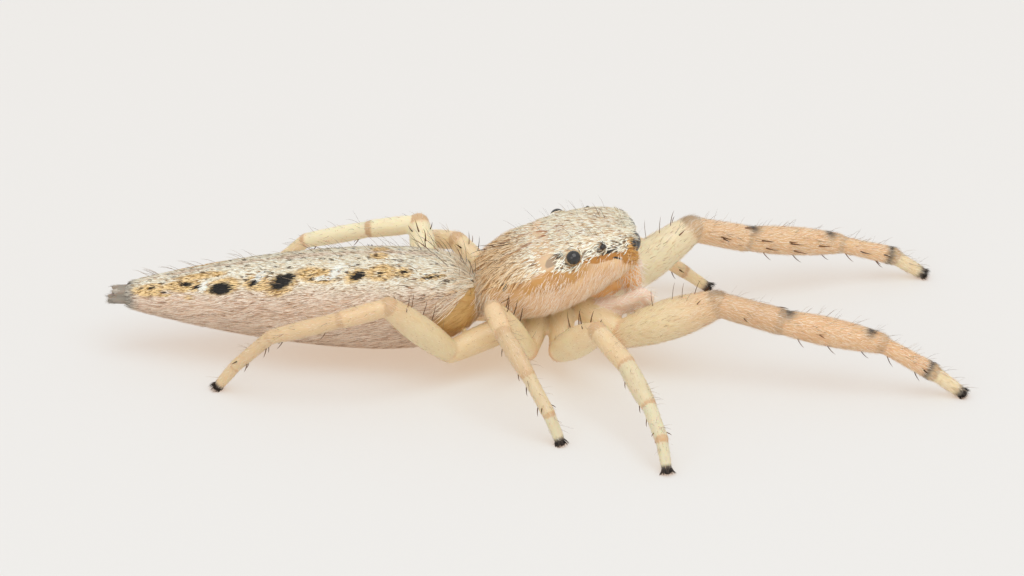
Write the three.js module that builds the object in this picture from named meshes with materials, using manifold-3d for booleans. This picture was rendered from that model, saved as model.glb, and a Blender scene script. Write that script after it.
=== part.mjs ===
// A slender, long-bodied jumping spider at life size: carapace with its eight eyes, chelicerae
// and palps, long tapering abdomen, eight legs and their dark claw tufts, standing with the
// stout front legs stretched out ahead.
// Millimetres. +X is forward, +Y the spider's left and +Z up, and the feet stand on z = 0.
// Every body form is drawn out to the tips of its short coat.

import * as THREE from 'three';
import { mergeVertices } from 'three/addons/utils/BufferGeometryUtils.js';
import Module from 'manifold-3d';

const wasm = await Module();
wasm.setup();

// ---- Driving dimensions -------------------------------------------------------------------

const GAP = 0.04; // left between two pieces that meet
const FINEST = 0.012; // detail finer than this is cleaned away after a cut
const CAP_ANGLE = 50; // where the bevel that rounds a limb's end lies, degrees

// How the two halves of the body are carried.
const HEAD_HEIGHT = 1.1; // of the carapace's rear edge above the floor
const HEAD_TURN = 5.5; // degrees to the left
const HEAD_LIFT = 10; // degrees, nose up
const TAIL_HEIGHT = 1.47; // of the abdomen's axis above the floor
const TAIL_TURN = -6; // degrees: the abdomen swings out to the left behind
const TAIL_LIFT = 0.4;

// Carapace, from its rear edge forward: place, half width, top and lower margin.
const CARAPACE = [
  [0.0, 0.55, 0.85, 0.22],
  [0.35, 0.92, 1.2, 0.06],
  [0.9, 1.18, 1.43, 0.0],
  [1.6, 1.3, 1.61, 0.03],
  [2.3, 1.27, 1.68, 0.1],
  [2.9, 1.15, 1.68, 0.3],
  [3.35, 1.02, 1.58, 0.54],
  [3.76, 0.85, 1.4, 0.66],
];
const CARAPACE_EDGE = 0.35; // how far up from margin to top the widest line lies
const CARAPACE_SQUARE = 3.2; // 2 is an ellipse, more is boxier

// Eyes, in pairs: place forward, out and up of the centre, and radius.
const EYES = {
  ame: [3.55, 0.33, 1.06, 0.3],
  ale: [3.58, 0.76, 1.2, 0.12],
  pme: [2.93, 0.98, 1.43, 0.055],
  ple: [2.24, 1.05, 1.36, 0.17],
};

// Breast plate, then the lip with the mouth lobes: middle, half length, half width, top, depth.
const BREAST = [1.5, 1.0, 0.42, 0, 0.26];
const MOUTH = [2.6, 0.52, 0.4, 0.34, 0.44];
const PLATE_WALL = 0.28; // how far a plate goes straight down before it curves in
const PLATE_SQUARE = 2.4;

// Chelicera: where it hangs and ends on the head, and its thickness on the way down.
const CHELICERA_TOP = [3.38, 0.31, 0.5];
const CHELICERA_END = [3.48, 0.31, -0.12];
const CHELICERA_WIDTHS = [0.54, 0.6, 0.44];

// Waist, the short stalk between the two halves, as it stands.
const WAIST = [[-0.5, 0, 1.34], [0.6, 0.02, 1.16]];
const WAIST_WIDTH = 0.6;

// Abdomen: length, greatest radius, and how it swells in front and thins behind.
const ABDOMEN_FRONT = 0.16; // how far its front reaches ahead of the waist
const ABDOMEN_LENGTH = 8.0;
const ABDOMEN_RADIUS = 1.17;
const ABDOMEN_PEAK = 2.25; // from the front to the greatest radius
const ABDOMEN_BLUNT = 3.2;
const BELLY_PEAK = 2.6; // the same for the belly, which draws back further to the waist
const BELLY_BLUNT = 2.6;
const ABDOMEN_TAPER = 1.75;
const ABDOMEN_TIP = 0.28; // radius at the spinnerets, as a share of the greatest
const ABDOMEN_BROAD = 1.03; // half width as a share of the radius
const SPINNERET_LENGTH = 0.42;
const SPINNERET_SPREAD = 0.09; // of each finger's root from the axis, up and across
const SPINNERET_WIDTHS = [0.26, 0.24, 0.18];

// Legs, front to back: where the coxa and the trochanter lie on the head and chest, the
// coxa's thickness, then length and thickness of femur, patella, tibia, metatarsus, tarsus.
const LEG_PAIRS = [
  {
    coxa: [2.35, 0.46, -0.3], trochanter: [3.0, 1.08, -0.78], girth: 0.66,
    lengths: [2.35, 1.45, 2.25, 1.35, 0.78], widths: [0.98, 0.64, 0.72, 0.5, 0.46],
  },
  {
    coxa: [1.8, 0.46, -0.32], trochanter: [1.54, 1.16, -0.77], girth: 0.62,
    lengths: [2.0, 1.15, 1.3, 1.05, 0.62], widths: [0.78, 0.56, 0.54, 0.48, 0.46],
  },
  {
    coxa: [1.22, 0.46, -0.32], trochanter: [0.84, 1.16, -0.6], girth: 0.58,
    lengths: [1.9, 1.0, 1.1, 1.0, 0.62], widths: [0.66, 0.54, 0.5, 0.48, 0.46],
  },
  {
    coxa: [0.7, 0.42, -0.25], trochanter: [-0.85, 1.08, -0.22], girth: 0.68,
    lengths: [2.15, 1.1, 1.65, 1.2, 0.66], widths: [0.68, 0.54, 0.52, 0.48, 0.46],
  },
];

// Stance: each segment's heading in degrees left of straight ahead, and its slope. The
// tarsus has no slope of its own, because it reaches down to the floor.
const STANCE = {
  r1: { heading: [-17, -18, -13, -10, -11], slope: [25, -10, -9, -29] },
  l1: { heading: [19, 23, 14, 5, -2], slope: [29, -22, -12, -18] },
  r2: { heading: [-63, -60, -70, -78, -75], slope: [36, -17, -20, -19] },
  l2: { heading: [89, -4, -4, -3, -3], slope: [26, -5, -12, -36] },
  r3: { heading: [-136, -80, -59, -50, -38], slope: [52, -7, -34, -47] },
  l3: { heading: [136, 121, 121, 126, 126], slope: [35, -20, -50, -22] },
  r4: { heading: [-156, -170, 170, 156, 156], slope: [44, -10, -18, -46] },
  l4: { heading: [98, 168, 158, 160, 162], slope: [36, -11, -19, -45] },
};
const TIP_HEIGHT = 0.13; // of a tarsus's end above the floor
const CLAW_RADIUS = 0.2;
const CLAW_LENGTH = 0.18; // how far the dark tuft reaches past the tarsus
const SOLE_CLEARANCE = 0.02; // only the claw tufts touch the floor

// Palp: its root, knee, elbow and tip on the head, and its thickness.
const PALP = [[2.62, 0.6, -0.2], [3.62, 0.82, -0.06], [3.76, 0.78, -0.24], [2.92, 0.66, -0.38]];
const PALP_FEMUR_WIDTHS = [0.42, 0.44, 0.42];
const PALP_KNEE_WIDTHS = [0.42, 0.42, 0.42];
const PALP_HAND_WIDTHS = [0.42, 0.42, 0.38];

const FINISH = {
  carapace: { color: 0xe2cfa2, roughness: 0.8 },
  chest: { color: 0xe3bf8b, roughness: 0.7 },
  abdomen: { color: 0xcdbba4, roughness: 0.85 },
  spinnerets: { color: 0x6b6763, roughness: 0.7 },
  eye: { color: 0x0b0a0a, roughness: 0.08 },
  chelicera: { color: 0xb5702f, roughness: 0.45 },
  palp: { color: 0xe8cdb4, roughness: 0.7 },
  front_leg: { color: 0xe2b083, roughness: 0.65 },
  leg: { color: 0xead8ae, roughness: 0.6 },
  claws: { color: 0x1d1a19, roughness: 0.8 },
};

// ---- Closed skins and solids --------------------------------------------------------------

const X = new THREE.Vector3(1, 0, 0);
const Z = new THREE.Vector3(0, 0, 1);
const FLOOR = new THREE.Vector3(0, 0, 0);
const rad = THREE.MathUtils.degToRad;
const { lerp } = THREE.MathUtils;

// Shares of a length from 0 to 1, closer together towards both ends.
const eased = (steps) => Array.from({ length: steps + 1 }, (_, i) =>
  (1 - Math.cos((i / steps) * Math.PI)) / 2);

// A closed skin through rings of points, each ring turning left about the way ahead.
function skin(rings) {
  const sides = rings[0].length;
  const middle = (ring) => ring.reduce((sum, p) => sum.add(p), new THREE.Vector3())
    .divideScalar(sides);
  const points = [...rings.flat(), middle(rings[0]), middle(rings.at(-1))];
  const [first, last] = [points.length - 2, points.length - 1];
  const faces = [];
  for (let side = 0; side < sides; side++) {
    const next = (side + 1) % sides;
    for (let ring = 0; ring < rings.length - 1; ring++) {
      const a = ring * sides;
      const b = a + sides;
      faces.push(a + side, a + next, b + next, a + side, b + next, b + side);
    }
    const end = (rings.length - 1) * sides;
    faces.push(first, next, side, last, end + side, end + next);
  }
  return new THREE.BufferGeometry().setFromPoints(points).setIndex(faces);
}

// The same skin as a solid that can be joined and cut.
function solid(geometry) {
  const bare = geometry.clone();
  bare.deleteAttribute('normal');
  bare.deleteAttribute('uv');
  const merged = mergeVertices(bare);
  return new wasm.Manifold(new wasm.Mesh({
    numProp: 3,
    vertProperties: merged.attributes.position.array,
    triVerts: new Uint32Array(merged.index.array),
  }));
}

// A point round a section at an angle, on a curve between an ellipse and a box.
function rounded(angle, square) {
  const bend = (value) => Math.sign(value) * Math.abs(value) ** (2 / square);
  return [bend(Math.cos(angle)), bend(Math.sin(angle))];
}

// A body form along X: section(x) gives its half width, top, bottom and widest height.
function bodyForm(places, sides, square, section) {
  return solid(skin(places.map((x) => {
    const { half, top, bottom, wide } = section(x);
    return Array.from({ length: sides }, (_, side) => {
      const [across, up] = rounded((side / sides) * 2 * Math.PI, square);
      const reach = up > 0 ? top - wide : wide - bottom;
      return new THREE.Vector3(x, half * across, wide + reach * up);
    });
  })));
}

// A point given on the left, on one side; and thicknesses with a little more all round.
const sided = ([x, y, z], side) => new THREE.Vector3(x, side * y, z);
const grown = (widths, extra) => widths.map((width) => width + 2 * extra);

// A limb's segment: thickness at its start, middle and end, and round caps past both ends.
function segment(start, end, [first, middle, last], sides = 8, steps = 2) {
  const along = end.clone().sub(start);
  const length = along.length();
  along.normalize();
  const up = (Math.abs(along.z) > 0.95 ? X : Z).clone();
  up.addScaledVector(along, -up.dot(along)).normalize();
  const side = up.clone().cross(along);
  const ring = (distance, radius) => Array.from({ length: sides }, (_, i) => {
    const angle = (i / sides) * 2 * Math.PI;
    return start.clone().addScaledVector(along, distance)
      .addScaledVector(side, radius * Math.cos(angle))
      .addScaledVector(up, radius * Math.sin(angle));
  });
  const cap = rad(CAP_ANGLE);
  const rings = [ring(-first / 2 * Math.sin(cap), first / 2 * Math.cos(cap))];
  for (let step = 0; step <= steps; step++) {
    const t = step / steps;
    const swell = (middle - (first + last) / 2) * Math.sin(Math.PI * t);
    rings.push(ring(length * t, (lerp(first, last, t) + swell) / 2));
  }
  rings.push(ring(length + last / 2 * Math.sin(cap), last / 2 * Math.cos(cap)));
  return solid(skin(rings));
}

// What lies ahead of a plane through a point.
function ahead(form, point, normal, clearance = GAP / 2) {
  const unit = normal.clone().normalize();
  return form.trimByPlane(unit.toArray(), unit.dot(point) + clearance);
}

function behind(form, point, normal, clearance = GAP / 2) {
  return ahead(form, point, normal.clone().negate(), clearance);
}

function named(name, form, finish, parent) {
  const { vertProperties, triVerts } = form.simplify(FINEST).getMesh();
  const geometry = new THREE.BufferGeometry()
    .setAttribute('position', new THREE.BufferAttribute(vertProperties, 3))
    .setIndex(new THREE.BufferAttribute(triVerts, 1));
  const mesh = new THREE.Mesh(geometry, new THREE.MeshStandardMaterial({
    ...FINISH[finish], metalness: 0, flatShading: true,
  }));
  mesh.name = name;
  parent.add(mesh);
  return mesh;
}

// ---- The two halves of the body -----------------------------------------------------------

const spider = new THREE.Group();
const head = new THREE.Group();
head.position.z = HEAD_HEIGHT;
head.rotation.set(0, rad(-HEAD_LIFT), rad(HEAD_TURN), 'ZYX');
const tail = new THREE.Group();
tail.position.z = TAIL_HEIGHT;
tail.rotation.set(0, rad(-TAIL_LIFT), rad(TAIL_TURN), 'ZYX');
spider.add(head, tail);
spider.updateMatrixWorld(true);

// The carapace's half width, top and lower margin as smooth curves along it.
const carapaceCurve = new THREE.CubicInterpolant(
  CARAPACE.map((row) => row[0]), CARAPACE.flatMap((row) => row.slice(1)), 3,
  new Float32Array(3));

function carapaceForm(extra = 0) {
  const places = eased(10).map((share) => share * CARAPACE.at(-1)[0]);
  return bodyForm(places, 18, CARAPACE_SQUARE, (x) => {
    const [half, top, bottom] = carapaceCurve.evaluate(x);
    return {
      half: half + extra,
      top: top + extra,
      bottom: bottom - extra,
      wide: lerp(bottom, top, CARAPACE_EDGE),
    };
  });
}

function eyeForm([forward, out, up, radius], side, extra = 0) {
  const faces = radius > 0.25 ? [12, 8] : [8, 5];
  return solid(new THREE.SphereGeometry(radius + extra, ...faces)
    .rotateZ(Math.PI / 2).translate(forward, side * out, up));
}

// An egg-shaped plate under the carapace: its middle, half length, half width and depth.
function plateForm([middle, reach, half, top, depth], extra) {
  const places = eased(6).map((share) => middle + lerp(-0.98, 0.98, share) * reach);
  return bodyForm(places, 10, PLATE_SQUARE, (x) => {
    const round = Math.sqrt(1 - ((x - middle) / reach) ** 2);
    return {
      half: half * round + extra,
      top,
      bottom: top - PLATE_WALL - depth * round - extra,
      wide: top - PLATE_WALL,
    };
  });
}

function chestForm(extra = 0) {
  return plateForm(BREAST, extra).add(plateForm(MOUTH, extra));
}

function cheliceraForm(side, extra = 0) {
  return segment(sided(CHELICERA_TOP, side), sided(CHELICERA_END, side),
    grown(CHELICERA_WIDTHS, extra), 10, 3);
}

function abdomenRadius(distance) {
  if (distance < ABDOMEN_PEAK) {
    const back = (ABDOMEN_PEAK - distance) / ABDOMEN_PEAK;
    return ABDOMEN_RADIUS * Math.sqrt(1 - back ** ABDOMEN_BLUNT);
  }
  const on = (distance - ABDOMEN_PEAK) / (ABDOMEN_LENGTH - ABDOMEN_PEAK);
  return ABDOMEN_RADIUS * (1 - (1 - ABDOMEN_TIP) * on ** ABDOMEN_TAPER);
}

function bellyDepth(distance) {
  const back = Math.max(BELLY_PEAK - distance, 0) / BELLY_PEAK;
  return Math.min(abdomenRadius(distance), ABDOMEN_RADIUS * Math.sqrt(1 - back ** BELLY_BLUNT));
}

function abdomenForm(extra = 0) {
  const places = eased(16).map((share) =>
    ABDOMEN_FRONT - lerp(ABDOMEN_LENGTH, FINEST, share));
  return bodyForm(places, 18, 2, (x) => {
    const radius = abdomenRadius(ABDOMEN_FRONT - x) + extra;
    const depth = bellyDepth(ABDOMEN_FRONT - x) + extra;
    return { half: ABDOMEN_BROAD * radius, top: radius, bottom: -depth, wide: 0 };
  });
}

function waistForm(extra = 0) {
  return segment(...WAIST.map((point) => sided(point, 1)),
    grown(Array(3).fill(WAIST_WIDTH), extra), 10, 2);
}

// Four short fingers at the abdomen's end, joined at their roots.
function spinneretForm() {
  const root = new THREE.Vector3(ABDOMEN_FRONT - ABDOMEN_LENGTH, 0, 0);
  const reach = SPINNERET_LENGTH - SPINNERET_WIDTHS.at(-1) / 2;
  const fingers = [-1, 1].flatMap((side) => [-1, 1].map((level) => {
    const finger = root.clone().add(
      new THREE.Vector3(0, side * SPINNERET_SPREAD, level * SPINNERET_SPREAD));
    return segment(finger, finger.clone().addScaledVector(X, -reach), SPINNERET_WIDTHS, 6, 1);
  }));
  return ahead(wasm.Manifold.union(fingers), root, X.clone().negate());
}

// What the limbs and the other pieces of the body are cut back from, in the stance's frame.
const inHead = (form) => form.transform(head.matrixWorld.elements);
const inTail = (form) => form.transform(tail.matrixWorld.elements);
const carapaceRoom = inHead(carapaceForm(GAP));
const chestRoom = inHead(chestForm(GAP));
const abdomenRoom = inTail(abdomenForm(GAP));
const waistRoom = waistForm(GAP);
const clear = (form, ...rooms) => rooms.reduce((left, room) => left.subtract(room), form);

const SIDES = [['l', 1], ['r', -1]];

function addHead() {
  const eyes = Object.entries(EYES).flatMap(([eye, size]) =>
    SIDES.map(([letter, side]) => [`eye_${eye}_${letter}`, size, side]));
  const sockets = eyes.map(([, size, side]) => eyeForm(size, side, GAP));
  named('carapace', clear(carapaceForm(), ...sockets), 'carapace', head);
  eyes.forEach(([name, size, side]) => named(name, eyeForm(size, side), 'eye', head));
  named('sternum', clear(chestForm(), carapaceForm(GAP)), 'chest', head);
  SIDES.forEach(([letter, side]) => {
    const jaw = clear(cheliceraForm(side), carapaceForm(GAP), chestForm(GAP));
    named(`chelicera_${letter}`, jaw, 'chelicera', head);
  });
}

function addTail() {
  const carapaceHere = carapaceRoom.transform(tail.matrixWorld.clone().invert().elements);
  named('abdomen', clear(abdomenForm(), carapaceHere), 'abdomen', tail);
  named('spinnerets', spinneretForm(), 'spinnerets', tail);
  named('waist', clear(waistForm(), carapaceRoom, chestRoom, abdomenRoom), 'chest', spider);
}

// ---- Legs and palps -----------------------------------------------------------------------

// A point given on one side of the head, in the stance's frame.
const onHead = (point, side) => sided(point, side).applyMatrix4(head.matrixWorld);

// Joints of one leg, from the coxa's root out to the tarsus's end.
function legJoints(pair, side, { heading, slope }) {
  const joints = [onHead(pair.coxa, side), onHead(pair.trochanter, side)];
  pair.lengths.forEach((length, i) => {
    const from = joints.at(-1);
    const pitch = i < slope.length ? rad(slope[i]) : Math.asin((TIP_HEIGHT - from.z) / length);
    const turn = rad(heading[i]);
    const way = new THREE.Vector3(
      Math.cos(turn) * Math.cos(pitch), Math.sin(turn) * Math.cos(pitch), Math.sin(pitch));
    joints.push(from.clone().addScaledVector(way, length));
  });
  return joints;
}

// The way across each joint, halfway between the segments that meet there.
function foldAt(joints, i) {
  const before = joints[i].clone().sub(joints[i - 1]).normalize();
  const after = joints[i + 1].clone().sub(joints[i]).normalize();
  return before.add(after);
}

// Start, middle and end thickness of each segment, as shares of its greatest, and in how
// many steps it swells.
const SEGMENT_SHAPE = [[0.74, 1, 0.7], [0.92, 1, 1.02], [0.84, 1, 0.74], [1, 1, 0.96],
  [1, 1, 0.94]];
const SEGMENT_STEPS = [3, 2, 3, 1, 1];
const COXA_SHAPE = [1, 1, 0.86];
// The segments of each node: the femur alone, patella with tibia, metatarsus with tarsus.
const LEG_NODES = { femur: [0], tibia: [1, 2], tarsus: [3, 4] };

function coxaForm(pair, side, extra = 0) {
  return segment(onHead(pair.coxa, side), onHead(pair.trochanter, side),
    grown(COXA_SHAPE.map((share) => share * pair.girth), extra));
}

// One segment of a leg, or the few that share a node, parted from what comes before and after.
function legForm(pair, joints, segments, extra = 0) {
  const forms = segments.map((i) => segment(joints[i + 1], joints[i + 2],
    grown(SEGMENT_SHAPE[i].map((share) => share * pair.widths[i]), extra), 8, SEGMENT_STEPS[i]));
  const first = segments[0] + 1;
  const last = segments.at(-1) + 2;
  const form = ahead(wasm.Manifold.union(forms), joints[first], foldAt(joints, first));
  if (last < joints.length - 1) return behind(form, joints[last], foldAt(joints, last));
  const end = behind(form, joints[last], joints[last].clone().sub(joints[last - 1]));
  return ahead(end, FLOOR, Z, SOLE_CLEARANCE);
}

function addLeg(leg, side, number) {
  const pair = LEG_PAIRS[number];
  const joints = legJoints(pair, side, STANCE[leg]);

  // The coxa holds the trochanter too, and stops halfway to the coxae beside it.
  let coxa = behind(coxaForm(pair, side), joints[1], foldAt(joints, 1));
  const middleOf = (one) => onHead(one.coxa, side).lerp(onHead(one.trochanter, side), 0.5);
  const middle = middleOf(pair);
  [LEG_PAIRS[number - 1], LEG_PAIRS[number + 1]].filter(Boolean).forEach((other) => {
    const theirs = middleOf(other);
    coxa = behind(coxa, middle.clone().lerp(theirs, 0.5), theirs.sub(middle));
  });
  const bare = clear(coxa, carapaceRoom, chestRoom, abdomenRoom, waistRoom);
  named(`coxa_${leg}`, bare, 'chest', spider);

  const finish = number === 0 ? 'front_leg' : 'leg';
  for (const [part, segments] of Object.entries(LEG_NODES)) {
    const form = legForm(pair, joints, segments);
    const cut = part === 'femur' ? clear(form, carapaceRoom, abdomenRoom) : form;
    named(`${part}_${leg}`, cut, finish, spider);
  }

  // The claw tuft is a small dark pad on the floor at the tarsus's end.
  const tip = joints.at(-1);
  const along = tip.clone().sub(joints.at(-2)).normalize();
  const pad = solid(new THREE.SphereGeometry(CLAW_RADIUS, 8, 4)
    .scale(1, 1, CLAW_LENGTH / CLAW_RADIUS)
    .applyQuaternion(new THREE.Quaternion().setFromUnitVectors(Z, along))
    .translate(...tip.toArray()));
  named(`claws_${leg}`, ahead(ahead(pad, tip, along), FLOOR, Z, 0), 'claws', spider);
}

// A palp runs forward beside the jaws, and its hand folds down and back under itself.
function addPalp(letter, side) {
  const [root, knee, elbow, tip] = PALP.map((point) => onHead(point, side));
  const fold = foldAt([root, knee, elbow], 1);
  const femurForm = (extra) =>
    behind(segment(root, knee, grown(PALP_FEMUR_WIDTHS, extra), 7), knee, fold);
  const joints = legJoints(LEG_PAIRS[0], side, STANCE[`${letter}1`]);
  const rooms = [carapaceRoom, chestRoom, inHead(cheliceraForm(side, GAP)),
    coxaForm(LEG_PAIRS[0], side, GAP), legForm(LEG_PAIRS[0], joints, LEG_NODES.femur, GAP)];
  named(`palp_femur_${letter}`, clear(femurForm(0), ...rooms), 'palp', spider);
  const hand = ahead(segment(knee, elbow, PALP_KNEE_WIDTHS, 7, 1), knee, fold)
    .add(segment(elbow, tip, PALP_HAND_WIDTHS, 7));
  named(`palp_hand_${letter}`, clear(hand, femurForm(GAP), ...rooms), 'palp', spider);
}

// ---- The model ----------------------------------------------------------------------------

addHead();
addTail();
SIDES.forEach(([letter, side]) => {
  LEG_PAIRS.forEach((_, number) => addLeg(`${letter}${number + 1}`, side, number));
  addPalp(letter, side);
});

// The origin is the middle of the model's box, on the floor.
const box = new THREE.Box3().setFromObject(spider, true);
const centre = box.getCenter(new THREE.Vector3());
spider.position.set(-centre.x, -centre.y, -box.min.z);

const model = new THREE.Group();
model.add(spider);
export default model;
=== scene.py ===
# A slender jumping spider at life size, a still model on a plain floor. One skin with the eyes
# set in it carries flat scales, fine hairs, dark bristles and spines, and a black tuft on each foot.
# Shapes are worked out in millimetres in the stance's frame, whose origin is on the floor under
# the waist, and brought into the row's frame in metres as each piece is finished.
import math

import bpy
import numpy as np
from mathutils import Matrix, Vector
from mathutils.bvhtree import BVHTree


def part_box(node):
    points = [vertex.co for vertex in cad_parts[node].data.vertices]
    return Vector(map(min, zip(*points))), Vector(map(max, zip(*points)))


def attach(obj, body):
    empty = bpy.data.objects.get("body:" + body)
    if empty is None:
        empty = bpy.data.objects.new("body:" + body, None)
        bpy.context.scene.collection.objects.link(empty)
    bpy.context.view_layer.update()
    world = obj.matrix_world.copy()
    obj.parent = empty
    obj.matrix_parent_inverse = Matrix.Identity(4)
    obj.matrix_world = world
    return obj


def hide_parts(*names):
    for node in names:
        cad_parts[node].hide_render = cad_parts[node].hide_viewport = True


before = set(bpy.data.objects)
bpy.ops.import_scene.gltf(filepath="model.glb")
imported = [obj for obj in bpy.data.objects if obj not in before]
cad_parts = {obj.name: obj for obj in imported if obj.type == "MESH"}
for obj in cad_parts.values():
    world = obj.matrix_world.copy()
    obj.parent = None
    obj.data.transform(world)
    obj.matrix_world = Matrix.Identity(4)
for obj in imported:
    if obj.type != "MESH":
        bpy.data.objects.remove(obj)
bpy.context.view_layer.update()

MM = 0.001

# ---- Driving dimensions, in millimetres and degrees --------------------------------------

HEAD_HEIGHT, HEAD_TURN, HEAD_LIFT = 1.1, 5.5, 10
TAIL_HEIGHT, TAIL_TURN, TAIL_LIFT = 1.47, -6, 0.4
COAT_DEPTH = 0.05  # between the skin and the tips of the short coat

# Carapace, from its rear edge forward: place, half width, top and lower margin.
CARAPACE = [
    (0.0, 0.55, 0.85, 0.22), (0.35, 0.92, 1.2, 0.06), (0.9, 1.18, 1.43, 0.0),
    (1.6, 1.3, 1.61, 0.03), (2.3, 1.27, 1.68, 0.1), (2.9, 1.15, 1.68, 0.3),
    (3.35, 1.02, 1.58, 0.54), (3.76, 0.85, 1.4, 0.66),
]
CARAPACE_EDGE, CARAPACE_SQUARE = 0.35, 3.2

# Eyes in pairs, by their letters: place on the head, and radius of the lens.
EYES = {
    "ame": ((3.55, 0.33, 1.06), 0.3), "ale": ((3.6, 0.75, 1.19), 0.115),
    "pme": ((2.93, 0.98, 1.42), 0.05), "ple": ((2.24, 1.05, 1.36), 0.168),
}
# Each eye sits on a low mound, which lies this far behind, inward of and under it.
MOUNDS = {
    "ple": (0, 0.048, 0.036), "ale": (0.08, 0.0, 0.02), "pme": (0, 0.03, 0.03), "ame": (0.12, 0, 0),
}

ABDOMEN_FRONT, ABDOMEN_LENGTH, ABDOMEN_RADIUS = 0.16, 8.0, 1.17
ABDOMEN_PEAK, ABDOMEN_BLUNT, ABDOMEN_TAPER, ABDOMEN_TIP = 2.25, 3.2, 1.75, 0.28
BELLY_PEAK, BELLY_BLUNT = 2.6, 2.6
SPINNERET_REACH = 0.36

# Legs, front to back: coxa and trochanter on the head, the coxa's thickness, each segment's
# length (femur, patella, tibia, metatarsus, tarsus), and its skin's thickness at start, middle
# and end.
LEG_PAIRS = [
    ((2.35, 0.46, -0.3), (3.0, 1.08, -0.78), 0.6, (2.35, 1.45, 2.25, 1.35, 0.78),
     ((0.64, 0.9, 0.62), (0.56, 0.58, 0.6), (0.54, 0.64, 0.48), (0.38, 0.38, 0.42), (0.34, 0.31, 0.27))),
    ((1.8, 0.46, -0.32), (1.54, 1.16, -0.77), 0.56, (2.0, 1.15, 1.3, 1.05, 0.62),
     ((0.54, 0.7, 0.46), (0.42, 0.46, 0.44), (0.4, 0.44, 0.36), (0.33, 0.32, 0.32), (0.29, 0.27, 0.25))),
    ((1.22, 0.46, -0.32), (0.84, 1.16, -0.6), 0.52, (1.9, 1.0, 1.1, 1.0, 0.62),
     ((0.46, 0.58, 0.42), (0.4, 0.44, 0.42), (0.38, 0.41, 0.35), (0.33, 0.31, 0.31), (0.28, 0.27, 0.25))),
    ((0.7, 0.42, -0.25), (-0.85, 1.08, -0.22), 0.6, (2.15, 1.1, 1.65, 1.2, 0.66),
     ((0.5, 0.65, 0.48), (0.4, 0.43, 0.4), (0.36, 0.39, 0.33), (0.32, 0.3, 0.29), (0.28, 0.27, 0.24))),
]
# Each segment's heading, left of straight ahead, and its slope. The tarsus reaches the floor.
STANCE = {
    "r1": ((-17, -18, -13, -10, -11), (25, -10, -9, -29)),
    "l1": ((19, 23, 14, 5, -2), (29, -22, -12, -18)),
    "r2": ((-63, -60, -70, -78, -75), (36, -17, -20, -19)),
    "l2": ((89, -4, -4, -3, -3), (26, -5, -12, -36)),
    "r3": ((-136, -80, -59, -50, -38), (52, -7, -34, -47)),
    "l3": ((136, 121, 121, 126, 126), (35, -20, -50, -22)),
    "r4": ((-156, -170, 170, 156, 156), (44, -10, -18, -46)),
    "l4": ((98, 168, 158, 160, 162), (36, -11, -19, -45)),
}
TIP_HEIGHT = 0.13
SEGMENTS = ("femur", "patella", "tibia", "metatarsus", "tarsus")

# Palp on the head, from its root out, and its thickness at each of those places.
PALP = ((2.62, 0.6, -0.2), (3.2, 0.78, -0.14), (3.6, 0.83, -0.04), (3.72, 0.79, -0.2),
        (3.4, 0.74, -0.28), (2.92, 0.66, -0.36))
PALP_WIDTHS = (0.28, 0.31, 0.32, 0.32, 0.31, 0.3)

# Stout forms as start, end, and thickness at start, middle and end. All but the waist lie on
# the head.
CHELICERA = (3.38, 0.31, 0.56), (3.48, 0.31, -0.1), (0.54, 0.58, 0.42)
MOUTH = (2.45, 0.26, -0.2), (3.08, 0.36, 0.14), (0.34, 0.42, 0.42)
BREAST = (0.95, 0, -0.24), (2.1, 0, -0.3), (0.5, 0.66, 0.4)
WAIST = (-0.5, 0, 1.34), (0.6, 0.02, 1.16), (0.52, 0.5, 0.52)
# Spinnerets on each side, by their height and the share of the reach.
SPINNERETS = (-0.08, 1), (0.1, 0.75)
SPINNERET_WIDTHS = (0.2, 0.19, 0.14)

VOXEL = 0.045  # of the skin before it is smoothed
SKIN_FACES = 190000

# ---- Frames and joints --------------------------------------------------------------------


def turned(height, turn, lift):
    """The pose of one half of the body."""
    return (Matrix.Translation((0, 0, height)) @ Matrix.Rotation(math.radians(turn), 4, "Z")
            @ Matrix.Rotation(math.radians(-lift), 4, "Y"))


HEAD = turned(HEAD_HEIGHT, HEAD_TURN, HEAD_LIFT)
TAIL = turned(TAIL_HEIGHT, TAIL_TURN, TAIL_LIFT)
SIDES = {"l": 1, "r": -1}


def stance_origin():
    """Where the stance's origin lies in the row, in millimetres, from the two great eyes."""
    shifts = []
    for letter, side in SIDES.items():
        low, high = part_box(f"eye_ame_{letter}")
        x, y, z = EYES["ame"][0]
        shifts.append((low + high) / 2 / MM - HEAD @ Vector((x, side * y, z)))
    shift = sum(shifts, Vector()) / len(shifts)
    return Vector((shift.x, shift.y, 0))


ORIGIN = stance_origin()


def moved(points, matrix):
    """Rows of points carried by a 4 by 4 matrix."""
    m = np.array(matrix)
    return np.asarray(points, float) @ m[:3, :3].T + m[:3, 3]


def within(points, pose):
    """Points as they lie on one half of the body."""
    return moved(points, pose.inverted())


def directed(ways, matrix):
    return np.asarray(ways, float) @ np.array(matrix)[:3, :3].T


def unit(ways):
    return ways / np.maximum(np.linalg.norm(ways, axis=-1, keepdims=True), 1e-9)


def on_head(point, side):
    x, y, z = point
    return np.array(HEAD @ Vector((x, side * y, z)))


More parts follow.
